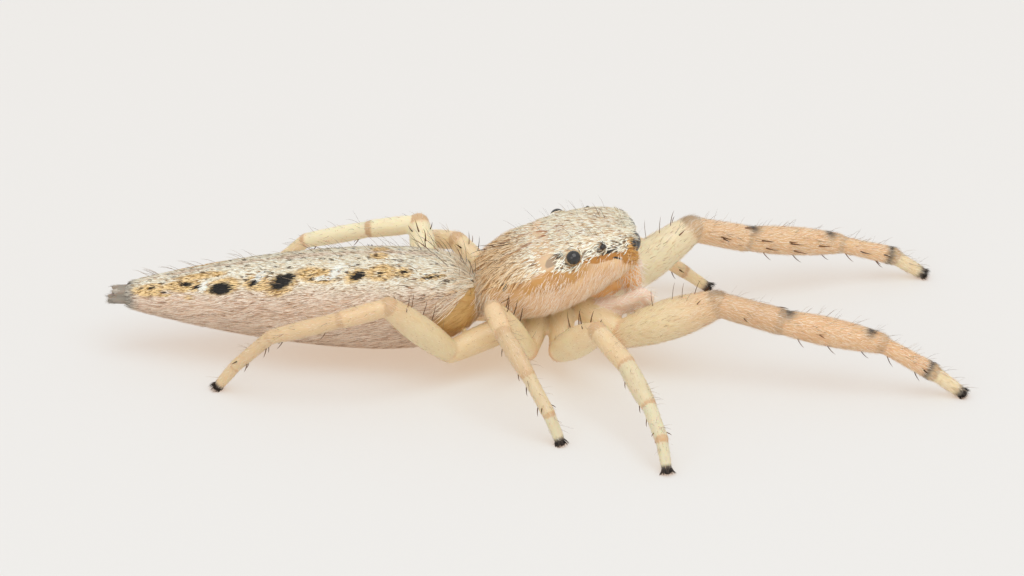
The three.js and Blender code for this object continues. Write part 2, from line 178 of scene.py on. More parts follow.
def leg_joints(leg):
    """Joints of one leg, from the coxa's root out to the tarsus's end."""
    side = SIDES[leg[0]]
    coxa, trochanter, _, lengths, _ = LEG_PAIRS[int(leg[1]) - 1]
    heading, slope = STANCE[leg]
    joints = [on_head(coxa, side), on_head(trochanter, side)]
    for i, length in enumerate(lengths):
        drop = (TIP_HEIGHT - joints[-1][2]) / length
        pitch = math.radians(slope[i]) if i < len(slope) else math.asin(drop)
        turn = math.radians(heading[i])
        way = np.array((math.cos(turn) * math.cos(pitch), math.sin(turn) * math.cos(pitch),
                        math.sin(pitch)))
        joints.append(joints[-1] + length * way)
    return joints


LEGS = {leg: leg_joints(leg) for leg in STANCE}


def limb_axes(start, end):
    """The ways along a limb, across it and up."""
    along = unit(end - start)
    up = np.array((1.0, 0, 0)) if abs(along[2]) > 0.95 else np.array((0, 0, 1.0))
    up = unit(up - along * (up @ along))
    return along, np.cross(up, along), up


# ---- Forms under the skin -----------------------------------------------------------------


def carapace_section(x):
    """Half width, top and lower margin of the carapace's solid, as smooth curves along it."""
    rows = np.array(CARAPACE)
    return [np.polyval(np.polyfit(rows[:, 0], rows[:, i], 4), x) for i in (1, 2, 3)]


def carapace_skin(x, raised=0.0):
    """The carapace's section under its coat: half width, top, bottom, and where it is widest."""
    half, top, bottom = carapace_section(x)
    wide = bottom + (top - bottom) * CARAPACE_EDGE
    return half - COAT_DEPTH, top - COAT_DEPTH, bottom + raised, wide


def abdomen_radius(distance):
    front = ABDOMEN_RADIUS * np.sqrt(np.maximum(
        1 - (np.clip(ABDOMEN_PEAK - distance, 0, ABDOMEN_PEAK) / ABDOMEN_PEAK) ** ABDOMEN_BLUNT, 0))
    on = np.clip((distance - ABDOMEN_PEAK) / (ABDOMEN_LENGTH - ABDOMEN_PEAK), 0, 1)
    rear = ABDOMEN_RADIUS * (1 - (1 - ABDOMEN_TIP) * on ** ABDOMEN_TAPER)
    return np.where(distance < ABDOMEN_PEAK, front, rear)


def belly_depth(distance):
    back = np.clip(BELLY_PEAK - distance, 0, BELLY_PEAK) / BELLY_PEAK
    return np.minimum(abdomen_radius(distance),
                      ABDOMEN_RADIUS * np.sqrt(np.maximum(1 - back ** BELLY_BLUNT, 0)))


def abdomen_skin(x, least):
    """The abdomen's section under its coat, no smaller than a least radius."""
    radius = np.maximum(abdomen_radius(ABDOMEN_FRONT - x) - COAT_DEPTH, least)
    depth = np.maximum(belly_depth(ABDOMEN_FRONT - x) - COAT_DEPTH, least)
    return 1.03 * radius, radius, -depth, 0 * radius


def thickness(widths, along):
    first, middle, last = widths
    swell = (middle - (first + last) / 2) * np.sin(np.pi * along)
    return first + (last - first) * along + swell


def body_place(ball, section, ends, caps, square, pose):
    """A unit ball's points moved onto a body form that lies along X, rounded at both ends."""
    share = (np.arcsin(np.clip(ball[:, 0], -1, 1)) / (np.pi / 2) + 1) / 2
    x = ends[0] + (ends[1] - ends[0]) * (1 - np.cos(np.pi * share)) / 2
    half, top, bottom, wide = section(x)
    inward = np.minimum(np.minimum((x - ends[0]) / caps[0], (ends[1] - x) / caps[1]), 1)
    round_ = (1 - (1 - inward) ** 2.4) ** (1 / 2.4)
    around = np.arctan2(ball[:, 2], ball[:, 1])
    across, up = (np.sign(f) * np.abs(f) ** (2 / square) for f in (np.cos(around), np.sin(around)))
    reach = np.where(up > 0, top - wide, wide - bottom)
    return moved(np.stack((x, half * round_ * across, wide + reach * round_ * up), 1), pose)


def carapace_place(ball):
    ends = 0.04, CARAPACE[-1][0] - 0.04
    return body_place(ball, lambda x: carapace_skin(x, 0.02), ends, (0.3, 0.2), CARAPACE_SQUARE, HEAD)


def abdomen_place(ball):
    ends = ABDOMEN_FRONT - ABDOMEN_LENGTH + 0.03, ABDOMEN_FRONT - 0.03
    return body_place(ball, lambda x: abdomen_skin(x, 0.02), ends, (0.12, 0.05), 2, TAIL)


def limb_place(ball, start, end, widths):
    """A unit ball's points moved onto a limb with round ends."""
    barrel = 0.72  # the share of the ball's rings that the limb takes between its caps
    share = np.arcsin(np.clip(ball[:, 2], -1, 1)) / (np.pi / 2)
    along = np.clip((share / barrel + 1) / 2, 0, 1)
    cap = np.clip((np.abs(share) - barrel) / (1 - barrel), 0, 1) * np.pi / 2
    radius = thickness(widths, along) / 2
    around = unit(ball[:, :2])
    way, side, up = limb_axes(start, end)
    reach = along * np.linalg.norm(end - start) + np.sign(share) * radius * np.sin(cap)
    ring = (radius * np.cos(cap))[:, None] * (around[:, :1] * side + around[:, 1:] * up)
    return start + reach[:, None] * way + ring


def form(place, *sizes, segments=20, rings=26):
    """A closed form of the skin: a ball whose points are moved into place."""
    bpy.ops.object.select_all(action="DESELECT")
    bpy.ops.mesh.primitive_uv_sphere_add(segments=segments, ring_count=rings, radius=1)
    made = bpy.context.object
    ball = np.array([v.co for v in made.data.vertices])
    made.data.vertices.foreach_set("co", place(ball, *sizes).astype(np.float32).ravel())
    made.data.update()
    return made


def limbs():
    """Every limb-shaped form: name, start, end, and thickness at start, middle and end."""
    found = []
    for leg, joints in LEGS.items():
        _, _, girth, _, widths = LEG_PAIRS[int(leg[1]) - 1]
        found.append((f"coxa_{leg}", joints[0], joints[1], (girth, girth, 0.84 * girth)))
        for i, segment in enumerate(SEGMENTS):
            found.append((f"{segment}_{leg}", joints[i + 1], joints[i + 2], widths[i]))
    for letter, side in SIDES.items():
        points = [on_head(point, side) for point in PALP]
        for i, (first, last) in enumerate(zip(PALP_WIDTHS, PALP_WIDTHS[1:])):
            found.append((f"palp_{letter}{i}", *points[i:i + 2], (first, (first + last) / 2, last)))
        for name, (start, end, widths) in (("chelicera", CHELICERA), ("mouth", MOUTH)):
            found.append((f"{name}_{letter}", on_head(start, side), on_head(end, side), widths))
    found.append(("breast", on_head(BREAST[0], 1), on_head(BREAST[1], 1), BREAST[2]))
    found.append(("waist", np.array(WAIST[0]), np.array(WAIST[1]), WAIST[2]))
    root = ABDOMEN_FRONT - ABDOMEN_LENGTH
    for side in (-1, 1):
        for level, share in SPINNERETS:
            finger = np.array(((root + 0.2, side * 0.09, level),
                               (root - SPINNERET_REACH * share, side * 0.1, level * 1.2)))
            found.append((f"spinneret_{side}{level}", *moved(finger, TAIL), SPINNERET_WIDTHS))
    return found


LIMBS = limbs()


def apply_modifier(piece, kind, **settings):
    modifier = piece.modifiers.new(kind.title(), kind)
    for name, value in settings.items():
        setattr(modifier, name, value)
    bpy.context.view_layer.objects.active = piece
    bpy.ops.object.modifier_apply(modifier=modifier.name)


def joined(pieces, name):
    """Several pieces made one."""
    bpy.ops.object.select_all(action="DESELECT")
    for piece in pieces:
        piece.select_set(True)
    bpy.context.view_layer.objects.active = pieces[0]
    bpy.ops.object.join()
    whole = bpy.context.object
    whole.name = whole.data.name = name
    return whole


def make_skin():
    """One closed skin over all the forms, still in millimetres."""
    parts = [form(carapace_place, segments=96, rings=110), form(abdomen_place, segments=64, rings=120)]
    parts += [form(limb_place, *sizes) for _, *sizes in LIMBS]
    for side in SIDES.values():
        for eye, (back, inward, under) in MOUNDS.items():
            (x, y, z), radius = EYES[eye]
            centre = on_head((x - back, y - inward, z - under), side)
            parts.append(form(lambda ball, c=centre, r=radius + 0.035: c + ball * r))
    skin = joined(parts, "skin")
    apply_modifier(skin, "REMESH", mode="VOXEL", voxel_size=VOXEL)
    apply_modifier(skin, "SMOOTH", factor=0.6, iterations=4)
    share = SKIN_FACES / (2 * len(skin.data.polygons))
    if share < 1:
        apply_modifier(skin, "DECIMATE", ratio=share)
    return skin


skin = make_skin()


# ---- Which part each place on the skin belongs to -----------------------------------------


def body_share(points, pose, section, square):
    """How far out points lie on a body form, as a share of its own section."""
    inner = within(points, pose)
    half, top, bottom, wide = section(inner[:, 0])
    reach = np.where(inner[:, 2] > wide, top - wide, wide - bottom)
    across, up = np.abs(inner[:, 1]) / half, np.abs(inner[:, 2] - wide) / np.maximum(reach, 0.05)
    return inner, (across ** square + up ** square) ** (1 / square)


def part_distances(points):
    """How far points lie outside the head, the abdomen and each limb."""
    rows = []
    root = ABDOMEN_FRONT - ABDOMEN_LENGTH
    for pose, section, square, rear, front in (
            (HEAD, lambda x: carapace_skin(np.clip(x, 0, CARAPACE[-1][0])), CARAPACE_SQUARE, 0,
             CARAPACE[-1][0]),
            (TAIL, lambda x: abdomen_skin(x, 0.05), 2, root, ABDOMEN_FRONT)):
        inner, share = body_share(points, pose, section, square)
        beyond = np.maximum(np.maximum(inner[:, 0] - front, rear - inner[:, 0]), 0)
        rows.append((share - 1) * 0.8 + beyond)
    for _, start, end, widths in LIMBS:
        way = end - start
        along = np.clip((points - start) @ way / (way @ way), 0, 1)
        away = np.linalg.norm(points - (start + along[:, None] * way), axis=1)
        rows.append(away - thickness(widths, along) / 2)
    return np.stack(rows)


PARTS = ["head", "tail"] + [name for name, *_ in LIMBS]


def points_of(piece):
    flat = np.zeros(3 * len(piece.data.vertices), np.float32)
    piece.data.vertices.foreach_get("co", flat)
    return flat.reshape(-1, 3).astype(float)


skin_points = points_of(skin)
skin_part = part_distances(skin_points).argmin(0)


def into_row(piece):
    """Brings a piece from millimetres in the stance's frame to metres in the row's."""
    piece.data.transform(Matrix.Scale(MM, 4) @ Matrix.Translation(ORIGIN))
    piece.data.update()
    return piece


# ---- Places on the skin --------------------------------------------------------------------

draw = np.random.default_rng(11)
LENSES = {f"{eye}_{letter}": (on_head(place, side), radius)
          for eye, (place, radius) in EYES.items() for letter, side in SIDES.items()}


def skin_triangles():
    mesh = skin.data
    mesh.calc_loop_triangles()
    corners = np.zeros(3 * len(mesh.loop_triangles), np.int32)
    mesh.loop_triangles.foreach_get("vertices", corners)
    normals = np.zeros(3 * len(mesh.vertices), np.float32)
    mesh.vertices.foreach_get("normal", normals)
    return corners.reshape(-1, 3), normals.reshape(-1, 3).astype(float)


skin_corners, skin_normals = skin_triangles()


def from_eyes(points):
    """How far places lie from the nearest lens, and the way from it."""
    gaps, ways = np.full(len(points), 9.0), np.zeros_like(points)
    for centre, radius in LENSES.values():
        away = points - centre
        gap = np.linalg.norm(away, axis=1) - radius
        nearer = gap < gaps
        gaps[nearer], ways[nearer] = gap[nearer], unit(away[nearer])
    return gaps, ways


def strewn(names, spacing, keep=None):
    """Evenly strewn roots on the parts whose names start so: points, normals and part numbers."""
    chosen = [i for i, part in enumerate(PARTS) if part.startswith(names)]
    triangles = skin_corners[np.isin(skin_part[skin_corners[:, 0]], chosen)]
    a, b, c = (skin_points[triangles[:, i]] for i in range(3))
    area = np.linalg.norm(np.cross(b - a, c - a), axis=1) / 2
    count = int(5 * area.sum() / spacing ** 2)
    picked = draw.choice(len(triangles), count, p=area / area.sum())
    u, v = draw.random(count), draw.random(count)
    u, v = np.where(u + v > 1, 1 - u, u), np.where(u + v > 1, 1 - v, v)
    shares = np.stack((1 - u - v, u, v), 1)[:, :, None]
    points = (skin_points[triangles[picked]] * shares).sum(1)
    normals = unit((skin_normals[triangles[picked]] * shares).sum(1))
    parts = skin_part[triangles[picked, 0]]
    _, first = np.unique(np.floor(points / spacing).astype(int), axis=0, return_index=True)
    first = np.sort(first)
    found = points[first], normals[first], parts[first]
    open_skin = from_eyes(found[0])[0] > 0.01
    found = tuple(values[open_skin] for values in found)
    if keep is not None:
        wanted = keep(found[0])
        found = tuple(values[wanted] for values in found)
    return found


def limb_places(points, parts):
    """Each root's way along its limb, how far along it lies, and its angle up from the side."""
    ways, along, angle = np.zeros_like(points), np.zeros(len(points)), np.zeros(len(points))
    for number, (_, start, end, _) in enumerate(LIMBS):
        mine = parts == number + 2
        way, side, up = limb_axes(start, end)
        ways[mine] = way
        away = points[mine] - start
        along[mine] = np.clip(away @ way / np.linalg.norm(end - start), 0, 1)
        angle[mine] = np.degrees(np.arctan2(away @ up, away @ side))
    return ways, along, angle


def segment_numbers(parts):
    """0 for a femur to 4 for a tarsus, -1 for a coxa and -2 for what is no leg; and front legs."""
    numbers, front = np.full(len(parts), -2), np.zeros(len(parts), bool)
    for number, part in enumerate(PARTS):
        mine = parts == number
        name = part.split("_")[0]
        if name in SEGMENTS:
            numbers[mine] = SEGMENTS.index(name)
        elif name == "coxa":
            numbers[mine] = -1
        front[mine] = part.endswith(("_r1", "_l1"))
    return numbers, front


# How peach-coloured some legs are, and how pale and greenish some of their parts. How dark
# some parts are: painted shade on the right hind leg under the abdomen, a darker tone on the other right
# legs.
LEG_PEACH = {"r2": 0.7, "l1": 0.9, "l2": 0.4, "l3": 0.3, "l4": 0.2}
LEG_PALE = {
    "coxa_l1": 0.5, "femur_l1": 0.7, "femur_l4": 0.6, "patella_l4": 0.7, "tibia_l4": 0.8,
    "tibia_r2": 0.55, "metatarsus_r2": 0.8, "tarsus_r2": 0.8, "metatarsus_r3": 0.3, "tarsus_r3": 0.6,
}
DUSK_AND_PAINTED_SHADE = {
    "femur_r4": 0.06, "patella_r4": 0.06, "tibia_r4": 0.12, "metatarsus_r4": 0.12, "tarsus_r4": 0.1,
    "patella_r1": 0.1, "tibia_r3": 0.16, "metatarsus_r3": 0.14, "tarsus_r3": 0.18,
    "patella_r2": 0.06, "tibia_r2": 0.16, "metatarsus_r2": 0.18, "tarsus_r2": 0.18,
}
# Dark bands: place in segments from the femur's root, reach, how far they keep to the top, and
# strength on the front pair and on the others.
LEG_BANDS = (
    (0.99, 0.03, 0.85, 0.5, 0.06), (1.99, 0.025, 0.6, 0.6, 0.12), (2.07, 0.06, 1, 1, 0.12),
    (2.9, 0.05, 1, 1, 0.12), (3.93, 0.06, 0.25, 1, 0.14), (5.02, 0.12, 0, 1, 1),
)
JOINT_REACH, RING_REACH = 0.035, 0.016  # of the paler joints and the dusky rings in them


def by_part(values, parts, otherwise=0):
    """What a table says of each place's part, or of its leg."""
    found = [values.get(part, values.get(part[-2:], otherwise)) for part in PARTS]
    return np.array(found)[parts]


def leg_marks(points, parts):
    """How dark, how peach-coloured and how pale each place on the limbs is."""
    _, along, angle = limb_places(points, parts)
    segment, front = segment_numbers(parts)
    place = segment + along
    top = np.clip(np.sin(np.radians(angle)), 0, 1)
    # Painted shade on the right hind leg under the abdomen and a darker tone on other right legs, then the
    # dark bands.
    dark = by_part(DUSK_AND_PAINTED_SHADE, parts)
    for centre, reach, on_top, first, others in LEG_BANDS:
        mark = np.exp(-((place - centre) / reach) ** 2) * (1 - on_top + on_top * top ** 3)
        dark = np.maximum(dark, mark * np.where(front, first, others))
    to_joint = place - np.round(place)
    joint, ring = (np.exp(-(to_joint / reach) ** 2) for reach in (JOINT_REACH, RING_REACH))
    dark = np.maximum(dark, 0.2 * ring * (place > 0.5) * (place < 4.5))
    peach = np.clip((place - 0.55) / 0.5, 0, 1)
    peach = peach * np.clip((3.98 - place) / 0.06, by_part({"tarsus_r4": 0.7}, parts), 1)
    peach = peach * np.where(front, 1, 0.5) * by_part(LEG_PEACH, parts, 1)
    peach = np.where(segment < 0, 0.25, np.maximum(peach, 0.75 * joint))
    return dark, peach, by_part(LEG_PALE, parts) * (1 - joint)


# ---- Shader nodes --------------------------------------------------------------------------


def put(tree, kind, inputs=(), output=0, **settings):
    """A shader node with its settings and inputs; gives back one of its outputs."""
    node = tree.nodes.new("ShaderNode" + kind)
    for name, value in settings.items():
        setattr(node, name, value)
    for key, value in inputs.items() if isinstance(inputs, dict) else enumerate(inputs):
        if isinstance(value, bpy.types.NodeSocket):
            tree.links.new(value, node.inputs[key])
        elif value is not None:
            node.inputs[key].default_value = value
    return node.outputs[output]


def maths(tree, operation, *inputs):
    return put(tree, "Math", inputs, operation=operation)


def times(tree, first, second):
    return maths(tree, "MULTIPLY", first, second)


def plus(tree, first, second):
    return maths(tree, "ADD", first, second)


def scaled(tree, vector, amount):
    return put(tree, "VectorMath", {0: vector, "Scale": amount}, operation="SCALE")


def mixed(tree, factor, first, second):
    """One colour mixed into another."""
    first, second = ((*c, 1) if isinstance(c, tuple) else c for c in (first, second))
    return put(tree, "Mix", {0: factor, 6: first, 7: second}, 2, data_type="RGBA")


def layered(tree, colour, *layers):
    """Colours laid one after the other over the first, each through its own mask."""
    for mask, over in layers:
        colour = mixed(tree, mask, colour, over)
    return colour


def stepped(tree, value, low, high, to_low=0.0, to_high=1.0):
    return put(tree, "MapRange", (value, low, high, to_low, to_high), interpolation_type="SMOOTHSTEP")


def noise(tree, vector, scale, detail=2.0, output=0):
    return put(tree, "TexNoise", {"Vector": vector, "Scale": scale, "Detail": detail}, output)


def new_group(name, inputs, outputs):
    """An empty node group: its inputs with their kinds, and what it gives, all plain values."""
    tree = bpy.data.node_groups.new(name, "ShaderNodeTree")
    sockets = [("INPUT", *row) for row in inputs.items()] + [("OUTPUT", o, "Float") for o in outputs]
    for direction, label, kind in sockets:
        tree.interface.new_socket(label, in_out=direction, socket_type="NodeSocket" + kind)
    return tree, tree.nodes.new("NodeGroupInput").outputs


def filled(tree, **values):
    """Joins what a node group gives to its outputs."""
    out = tree.nodes.new("NodeGroupOutput").inputs
    for label, value in values.items():
        tree.links.new(value, out[label])
    return tree


def use_group(tree, group, inputs):
    """Places a group in a tree and gives back its outputs by name."""
    return put(tree, "Group", inputs, node_tree=group).node.outputs


def oval_group():
    """A soft-edged oval: 1 inside and 0 outside."""
    kinds = {"Place": "Vector", "Centre": "Vector", "Size": "Vector", "Tilt": "Float"}
    tree, given = new_group("oval", kinds, ("Mask",))
    away = put(tree, "VectorMath", (given["Place"], given["Centre"]), operation="SUBTRACT")
    upright = put(tree, "VectorRotate", {"Vector": away, "Angle": given["Tilt"]}, rotation_type="Z_AXIS")
    share = put(tree, "VectorMath", (upright, given["Size"]), operation="DIVIDE")
    length = put(tree, "VectorMath", (share,), "Value", operation="LENGTH")
    return filled(tree, Mask=stepped(tree, length, 0.8, 1.2, 1, 0))


OVAL = oval_group()


def ovals(tree, place, marks):
    """Where any of several ovals lies. A mark is its centre, its half sizes and its tilt."""
    mask = None
    for x, y, long, wide, tilt in marks:
        one = use_group(tree, OVAL, {"Place": place, "Centre": (x, y, 0), "Size": (long, wide, 1),
                                     "Tilt": math.radians(-tilt)})["Mask"]
        mask = one if mask is None else maths(tree, "MAXIMUM", mask, one)
    return mask


def body_coordinates(tree, vector, pose):
    """Row coordinates in metres turned into millimetres on one half of the body."""
    back = pose.inverted()
    turn = back.to_3x3().to_euler("XYZ")
    shift = back.to_translation() - back.to_3x3() @ ORIGIN
    return put(tree, "Mapping", {"Vector": vector, "Location": shift, "Rotation": turn,
                                 "Scale": (1 / MM,) * 3})


def separate(tree, vector):
    return tuple(put(tree, "SeparateXYZ", (vector,)).node.outputs)


def roughened(tree, place, inner, scale, amount):
    """A place on a pattern shifted a little to and fro, for uneven edges."""
    shift = noise(tree, inner, scale, 3.0, "Color")
    centred = put(tree, "VectorMath", (shift, (0.5, 0.5, 0.5)), operation="SUBTRACT")
    return put(tree, "VectorMath", (place, scaled(tree, centred, amount)), operation="ADD")


# Marks on the abdomen: place along it, angle from the top, half length and width in
# millimetres, and tilt.
TAIL_BLACK = (
    (-5.64, 51, 0.25, 0.2, -12), (-4.24, 43, 0.29, 0.17, -34), (-2.58, 38, 0.17, 0.1, -25),
    (-4.9, 44, 0.09, 0.12, 40), (-6.42, 39, 0.12, 0.1, 0), (-6.2, 46, 0.1, 0.07, -20),
    (-6.92, 56, 0.07, 0.05, 0), (-7.2, 40, 0.1, 0.07, 0), (-0.93, 38, 0.28, 0.025, -22),
    (-3.6, 41, 0.06, 0.05, 0), (-1.55, 34, 0.06, 0.05, 0), (-2.1, 34, 0.05, 0.04, 0),
)
TAIL_GOLD = (
    (-5.6, 47, 0.45, 0.28, -15), (-4.8, 44, 0.32, 0.26, 0), (-6.45, 42, 0.5, 0.3, 0),
    (-3.5, 36, 0.5, 0.22, 10), (-4.26, 47, 0.42, 0.26, -34), (-2.05, 34, 0.36, 0.22, -8),
    (-2.62, 38, 0.26, 0.17, -25), (-1.56, 34, 0.18, 0.13, 0), (-0.93, 38, 0.34, 0.08, -22),
    (-7.25, 46, 0.4, 0.4, 0), (-6.35, 68, 0.1, 0.1, 0), (-2.1, 8, 0.22, 0.14, 0),
    (-6.1, 22, 0.6, 0.16, 0), (-6.95, 64, 0.16, 0.08, 0),
)
TAIL_WHITE = (
    (-4.8, 35, 0.26, 0.1, 112), (-3.05, 32, 0.26, 0.11, 125), (-6.02, 46, 0.22, 0.1, 100),
    (-3.35, 40, 0.2, 0.07, 0),
)


TAIL_ARC = 0.02  # how far round the abdomen one degree goes, in millimetres
# The front of the abdomen is bare this far back, from under it up by this much at the very front.
WAIST_BARE, WAIST_RISE = 0.95, 70
COAT_END = -7.78  # behind here are only the bare spinnerets


def tail_group():
    """The abdomen's markings, on the skin and on the hairs alike."""
    tree, given = new_group("tail_marks", {"Position": "Vector"}, (
        "Black", "Gold", "White", "Midline", "Flank", "Waist", "Specks", "Tip"))
    inner = body_coordinates(tree, given["Position"], TAIL)
    x, y, z = separate(tree, inner)
    angle = times(tree, maths(tree, "ARCTAN2", maths(tree, "ABSOLUTE", y), z), 180 / math.pi)
    flat = put(tree, "CombineXYZ", (x, times(tree, angle, TAIL_ARC), 0.0))
    place = roughened(tree, flat, inner, 8.0, 0.1)

    def marked(marks):
        return ovals(tree, place, [(mark[0], mark[1] * TAIL_ARC, *mark[2:]) for mark in marks])

    flecks = stepped(tree, noise(tree, inner, 9.0), 0.27, 0.42)
    wavering = plus(tree, angle, times(tree, noise(tree, flat, 3.0), 16.0))
    midline = stepped(tree, wavering, 9.0, 14.0, 1, 0)
    dots = put(tree, "TexVoronoi", {"Vector": inner, "Scale": 6.6})
    ahead = maths(tree, "MAXIMUM", plus(tree, x, WAIST_BARE), 0.0)
    edge = times(tree, times(tree, ahead, ahead), WAIST_RISE)
    under = maths(tree, "SUBTRACT", plus(tree, angle, edge), 90.0)
    return filled(
        tree, Black=marked(TAIL_BLACK), Gold=times(tree, marked(TAIL_GOLD), flecks),
        White=marked(TAIL_WHITE), Midline=times(tree, midline, stepped(tree, x, -0.5, -1.1)),
        Flank=stepped(tree, wavering, 48.0, 74.0), Tip=stepped(tree, x, -7.5, -7.72),
        Specks=times(tree, stepped(tree, dots, 0.27, 0.2), stepped(tree, wavering, 56.0, 48.0)),
        Waist=times(tree, stepped(tree, under, -8.0, 4.0), stepped(tree, ahead, 0.0, 0.12)))


# Marks on the side of the head: place along it and height, half sizes, and tilt.
HEAD_ORANGE = ((2.9, 1.19, 0.62, 0.085, -8), (3.5, 1.02, 0.22, 0.2, 0))
HEAD_GOLD = ((1.75, 1.0, 0.8, 0.24, 8), (0.62, 1.1, 0.2, 0.1, 60))
HEAD_GREY = ((1.74, 1.37, 0.17, 0.07, 20),)
HEAD_SHADE = ((2.95, 1.33, 0.72, 0.13, 0), (2.1, 1.3, 0.3, 0.16, 0))
HEAD_DARK = ((2.93, 1.42, 0.08, 0.045, 10), (3.05, 1.28, 0.17, 0.025, 0), (2.0, 1.46, 0.045, 0.04, 0),
             (3.21, 1.07, 0.12, 0.025, -30), (0.64, 1.0, 0.14, 0.03, 60))
# And on top of it: place along it and aside, half sizes, and tilt.
HEAD_RUSSET = ((2.2, 0.12, 0.1, 0.035, 20), (1.78, 0.1, 0.16, 0.045, -25), (1.35, 0.24, 0.2, 0.05, -15),
               (0.9, 0.3, 0.2, 0.06, 0))


def head_group():
    """The markings of the carapace, on the skin and on the hairs alike."""
    tree, given = new_group("head_marks", {"Position": "Vector"}, (
        "Orange", "Gold", "Shade", "Dark", "Russet", "Grey", "Cheek", "Margin", "Rim", "Rear"))
    inner = body_coordinates(tree, given["Position"], HEAD)
    x, y, z = separate(tree, inner)
    aside = maths(tree, "ABSOLUTE", y)
    place = roughened(tree, put(tree, "CombineXYZ", (x, z, 0.0)), inner, 7.0, 0.08)
    above = roughened(tree, put(tree, "CombineXYZ", (x, aside, 0.0)), inner, 7.0, 0.14)
    side, on_top = stepped(tree, aside, 0.5, 0.8), stepped(tree, aside, 0.8, 0.6)

    def sloped(start, end, share):
        """What grows by a share from one place on, towards the other."""
        return times(tree, maths(tree, "MAXIMUM", maths(tree, "SUBTRACT", end, start), 0.0), share)

    line = plus(tree, sloped(x, 1.3, 0.55), plus(tree, 0.62, times(tree, x, 0.17)))
    margin = maths(tree, "SUBTRACT", plus(tree, 0.22, sloped(2.2, x, 0.42)), z)
    marks = {label: times(tree, ovals(tree, place, ones), side) for label, ones in (
        ("Orange", HEAD_ORANGE), ("Gold", HEAD_GOLD), ("Shade", HEAD_SHADE), ("Dark", HEAD_DARK),
        ("Grey", HEAD_GREY))}
    return filled(
        tree, Russet=times(tree, ovals(tree, above, HEAD_RUSSET), on_top),
        Cheek=stepped(tree, maths(tree, "SUBTRACT", line, z), -0.08, 0.12),
        Margin=stepped(tree, margin, -0.05, 0.03), Rim=stepped(tree, margin, 0.07, 0.1),
        Rear=stepped(tree, x, 1.5, 0.5), **marks)


TAIL_MARKS, HEAD_MARKS = tail_group(), head_group()


# ---- Materials -----------------------------------------------------------------------------


def shader_of(material):
    return next(node for node in material.node_tree.nodes if node.type == "BSDF_PRINCIPLED")


def principled(name, roughness, colour=(0.8, 0.8, 0.8), **settings):
    """A material with constant values on its shader's own sockets."""
    material = bpy.data.materials.new(name)
    material.use_nodes = True
    sockets = shader_of(material).inputs
    for label, value in {"Base_Color": (*colour, 1), "Roughness": roughness, **settings}.items():
        sockets[label.replace("_", " ")].default_value = value
    return material


SOFT = {"Subsurface_Weight": 0.35, "Subsurface_Radius": (1.0, 0.5, 0.25), "Subsurface_Scale": 0.3 * MM}


def position(tree):
    return put(tree, "TexCoord", output="Object")


def in_mm(tree):
    return scaled(tree, position(tree), 1 / MM)


def attribute(tree, name, output="Fac"):
    return put(tree, "Attribute", output=output, attribute_name=name)


def finished(material, colour, *bump):
    """Joins a colour to a material's shader, and a bump if there is one: the scale and detail of
    its noise, its strength and how far it reaches."""
    tree, sockets = material.node_tree, shader_of(material).inputs
    tree.links.new(colour, sockets["Base Color"])
    if bump:
        scale, detail, strength, reach = bump
        height = noise(tree, in_mm(tree), scale, detail)
        bent = put(tree, "Bump", {"Strength": strength, "Distance": reach * MM, "Height": height})
        tree.links.new(bent, sockets["Normal"])
    return material


def head_skin():
    material = principled("head_skin", 0.42, **SOFT)
    tree = material.node_tree
    marks = use_group(tree, HEAD_MARKS, {"Position": position(tree)})
    mottle = noise(tree, in_mm(tree), 4.0, 4.0)
    top = mixed(tree, mottle, (0.6, 0.38, 0.2), (0.84, 0.64, 0.43))
    cheek = mixed(tree, mottle, (0.8, 0.5, 0.25), (0.88, 0.64, 0.38))
    cheek = mixed(tree, times(tree, marks["Rear"], 0.8), cheek, (0.68, 0.4, 0.16))
    gold = mixed(tree, mottle, (0.48, 0.23, 0.055), (0.74, 0.42, 0.15))
    colour = layered(
        tree, top, (marks["Rear"], (0.55, 0.3, 0.1)), (marks["Cheek"], cheek), (marks["Gold"], gold),
        (times(tree, marks["Shade"], 0.5), (0.2, 0.12, 0.06)), (marks["Russet"], (0.4, 0.16, 0.06)),
        (marks["Orange"], (0.5, 0.22, 0.045)), (marks["Margin"], (0.82, 0.6, 0.3)),
        (marks["Rim"], (0.94, 0.86, 0.72)), (times(tree, marks["Grey"], 0.75), (0.3, 0.22, 0.15)),
        (marks["Dark"], (0.03, 0.02, 0.015)))
    return finished(material, colour, 22.0, 3.0, 0.35, 0.015)


def tail_skin():
    material = principled("tail_skin", 0.5, **SOFT)
    tree = material.node_tree
    marks = use_group(tree, TAIL_MARKS, {"Position": position(tree)})
    mottle = noise(tree, in_mm(tree), 5.0, 4.0)
    back = mixed(tree, mottle, (0.56, 0.42, 0.27), (0.78, 0.68, 0.52))
    flank = mixed(tree, mottle, (0.64, 0.42, 0.28), (0.76, 0.54, 0.38))
    waist = mixed(tree, mottle, (0.5, 0.28, 0.08), (0.72, 0.48, 0.2))
    colour = layered(
        tree, back, (marks["Midline"], (0.56, 0.38, 0.27)), (marks["Flank"], flank),
        (marks["Gold"], (0.5, 0.28, 0.07)), (marks["Waist"], waist),
        (marks["White"], (0.86, 0.87, 0.82)), (marks["Specks"], (0.16, 0.1, 0.05)),
        (marks["Tip"], (0.3, 0.26, 0.21)), (marks["Black"], (0.012, 0.009, 0.008)))
    return finished(material, colour, 18.0, 3.0, 0.4, 0.015)


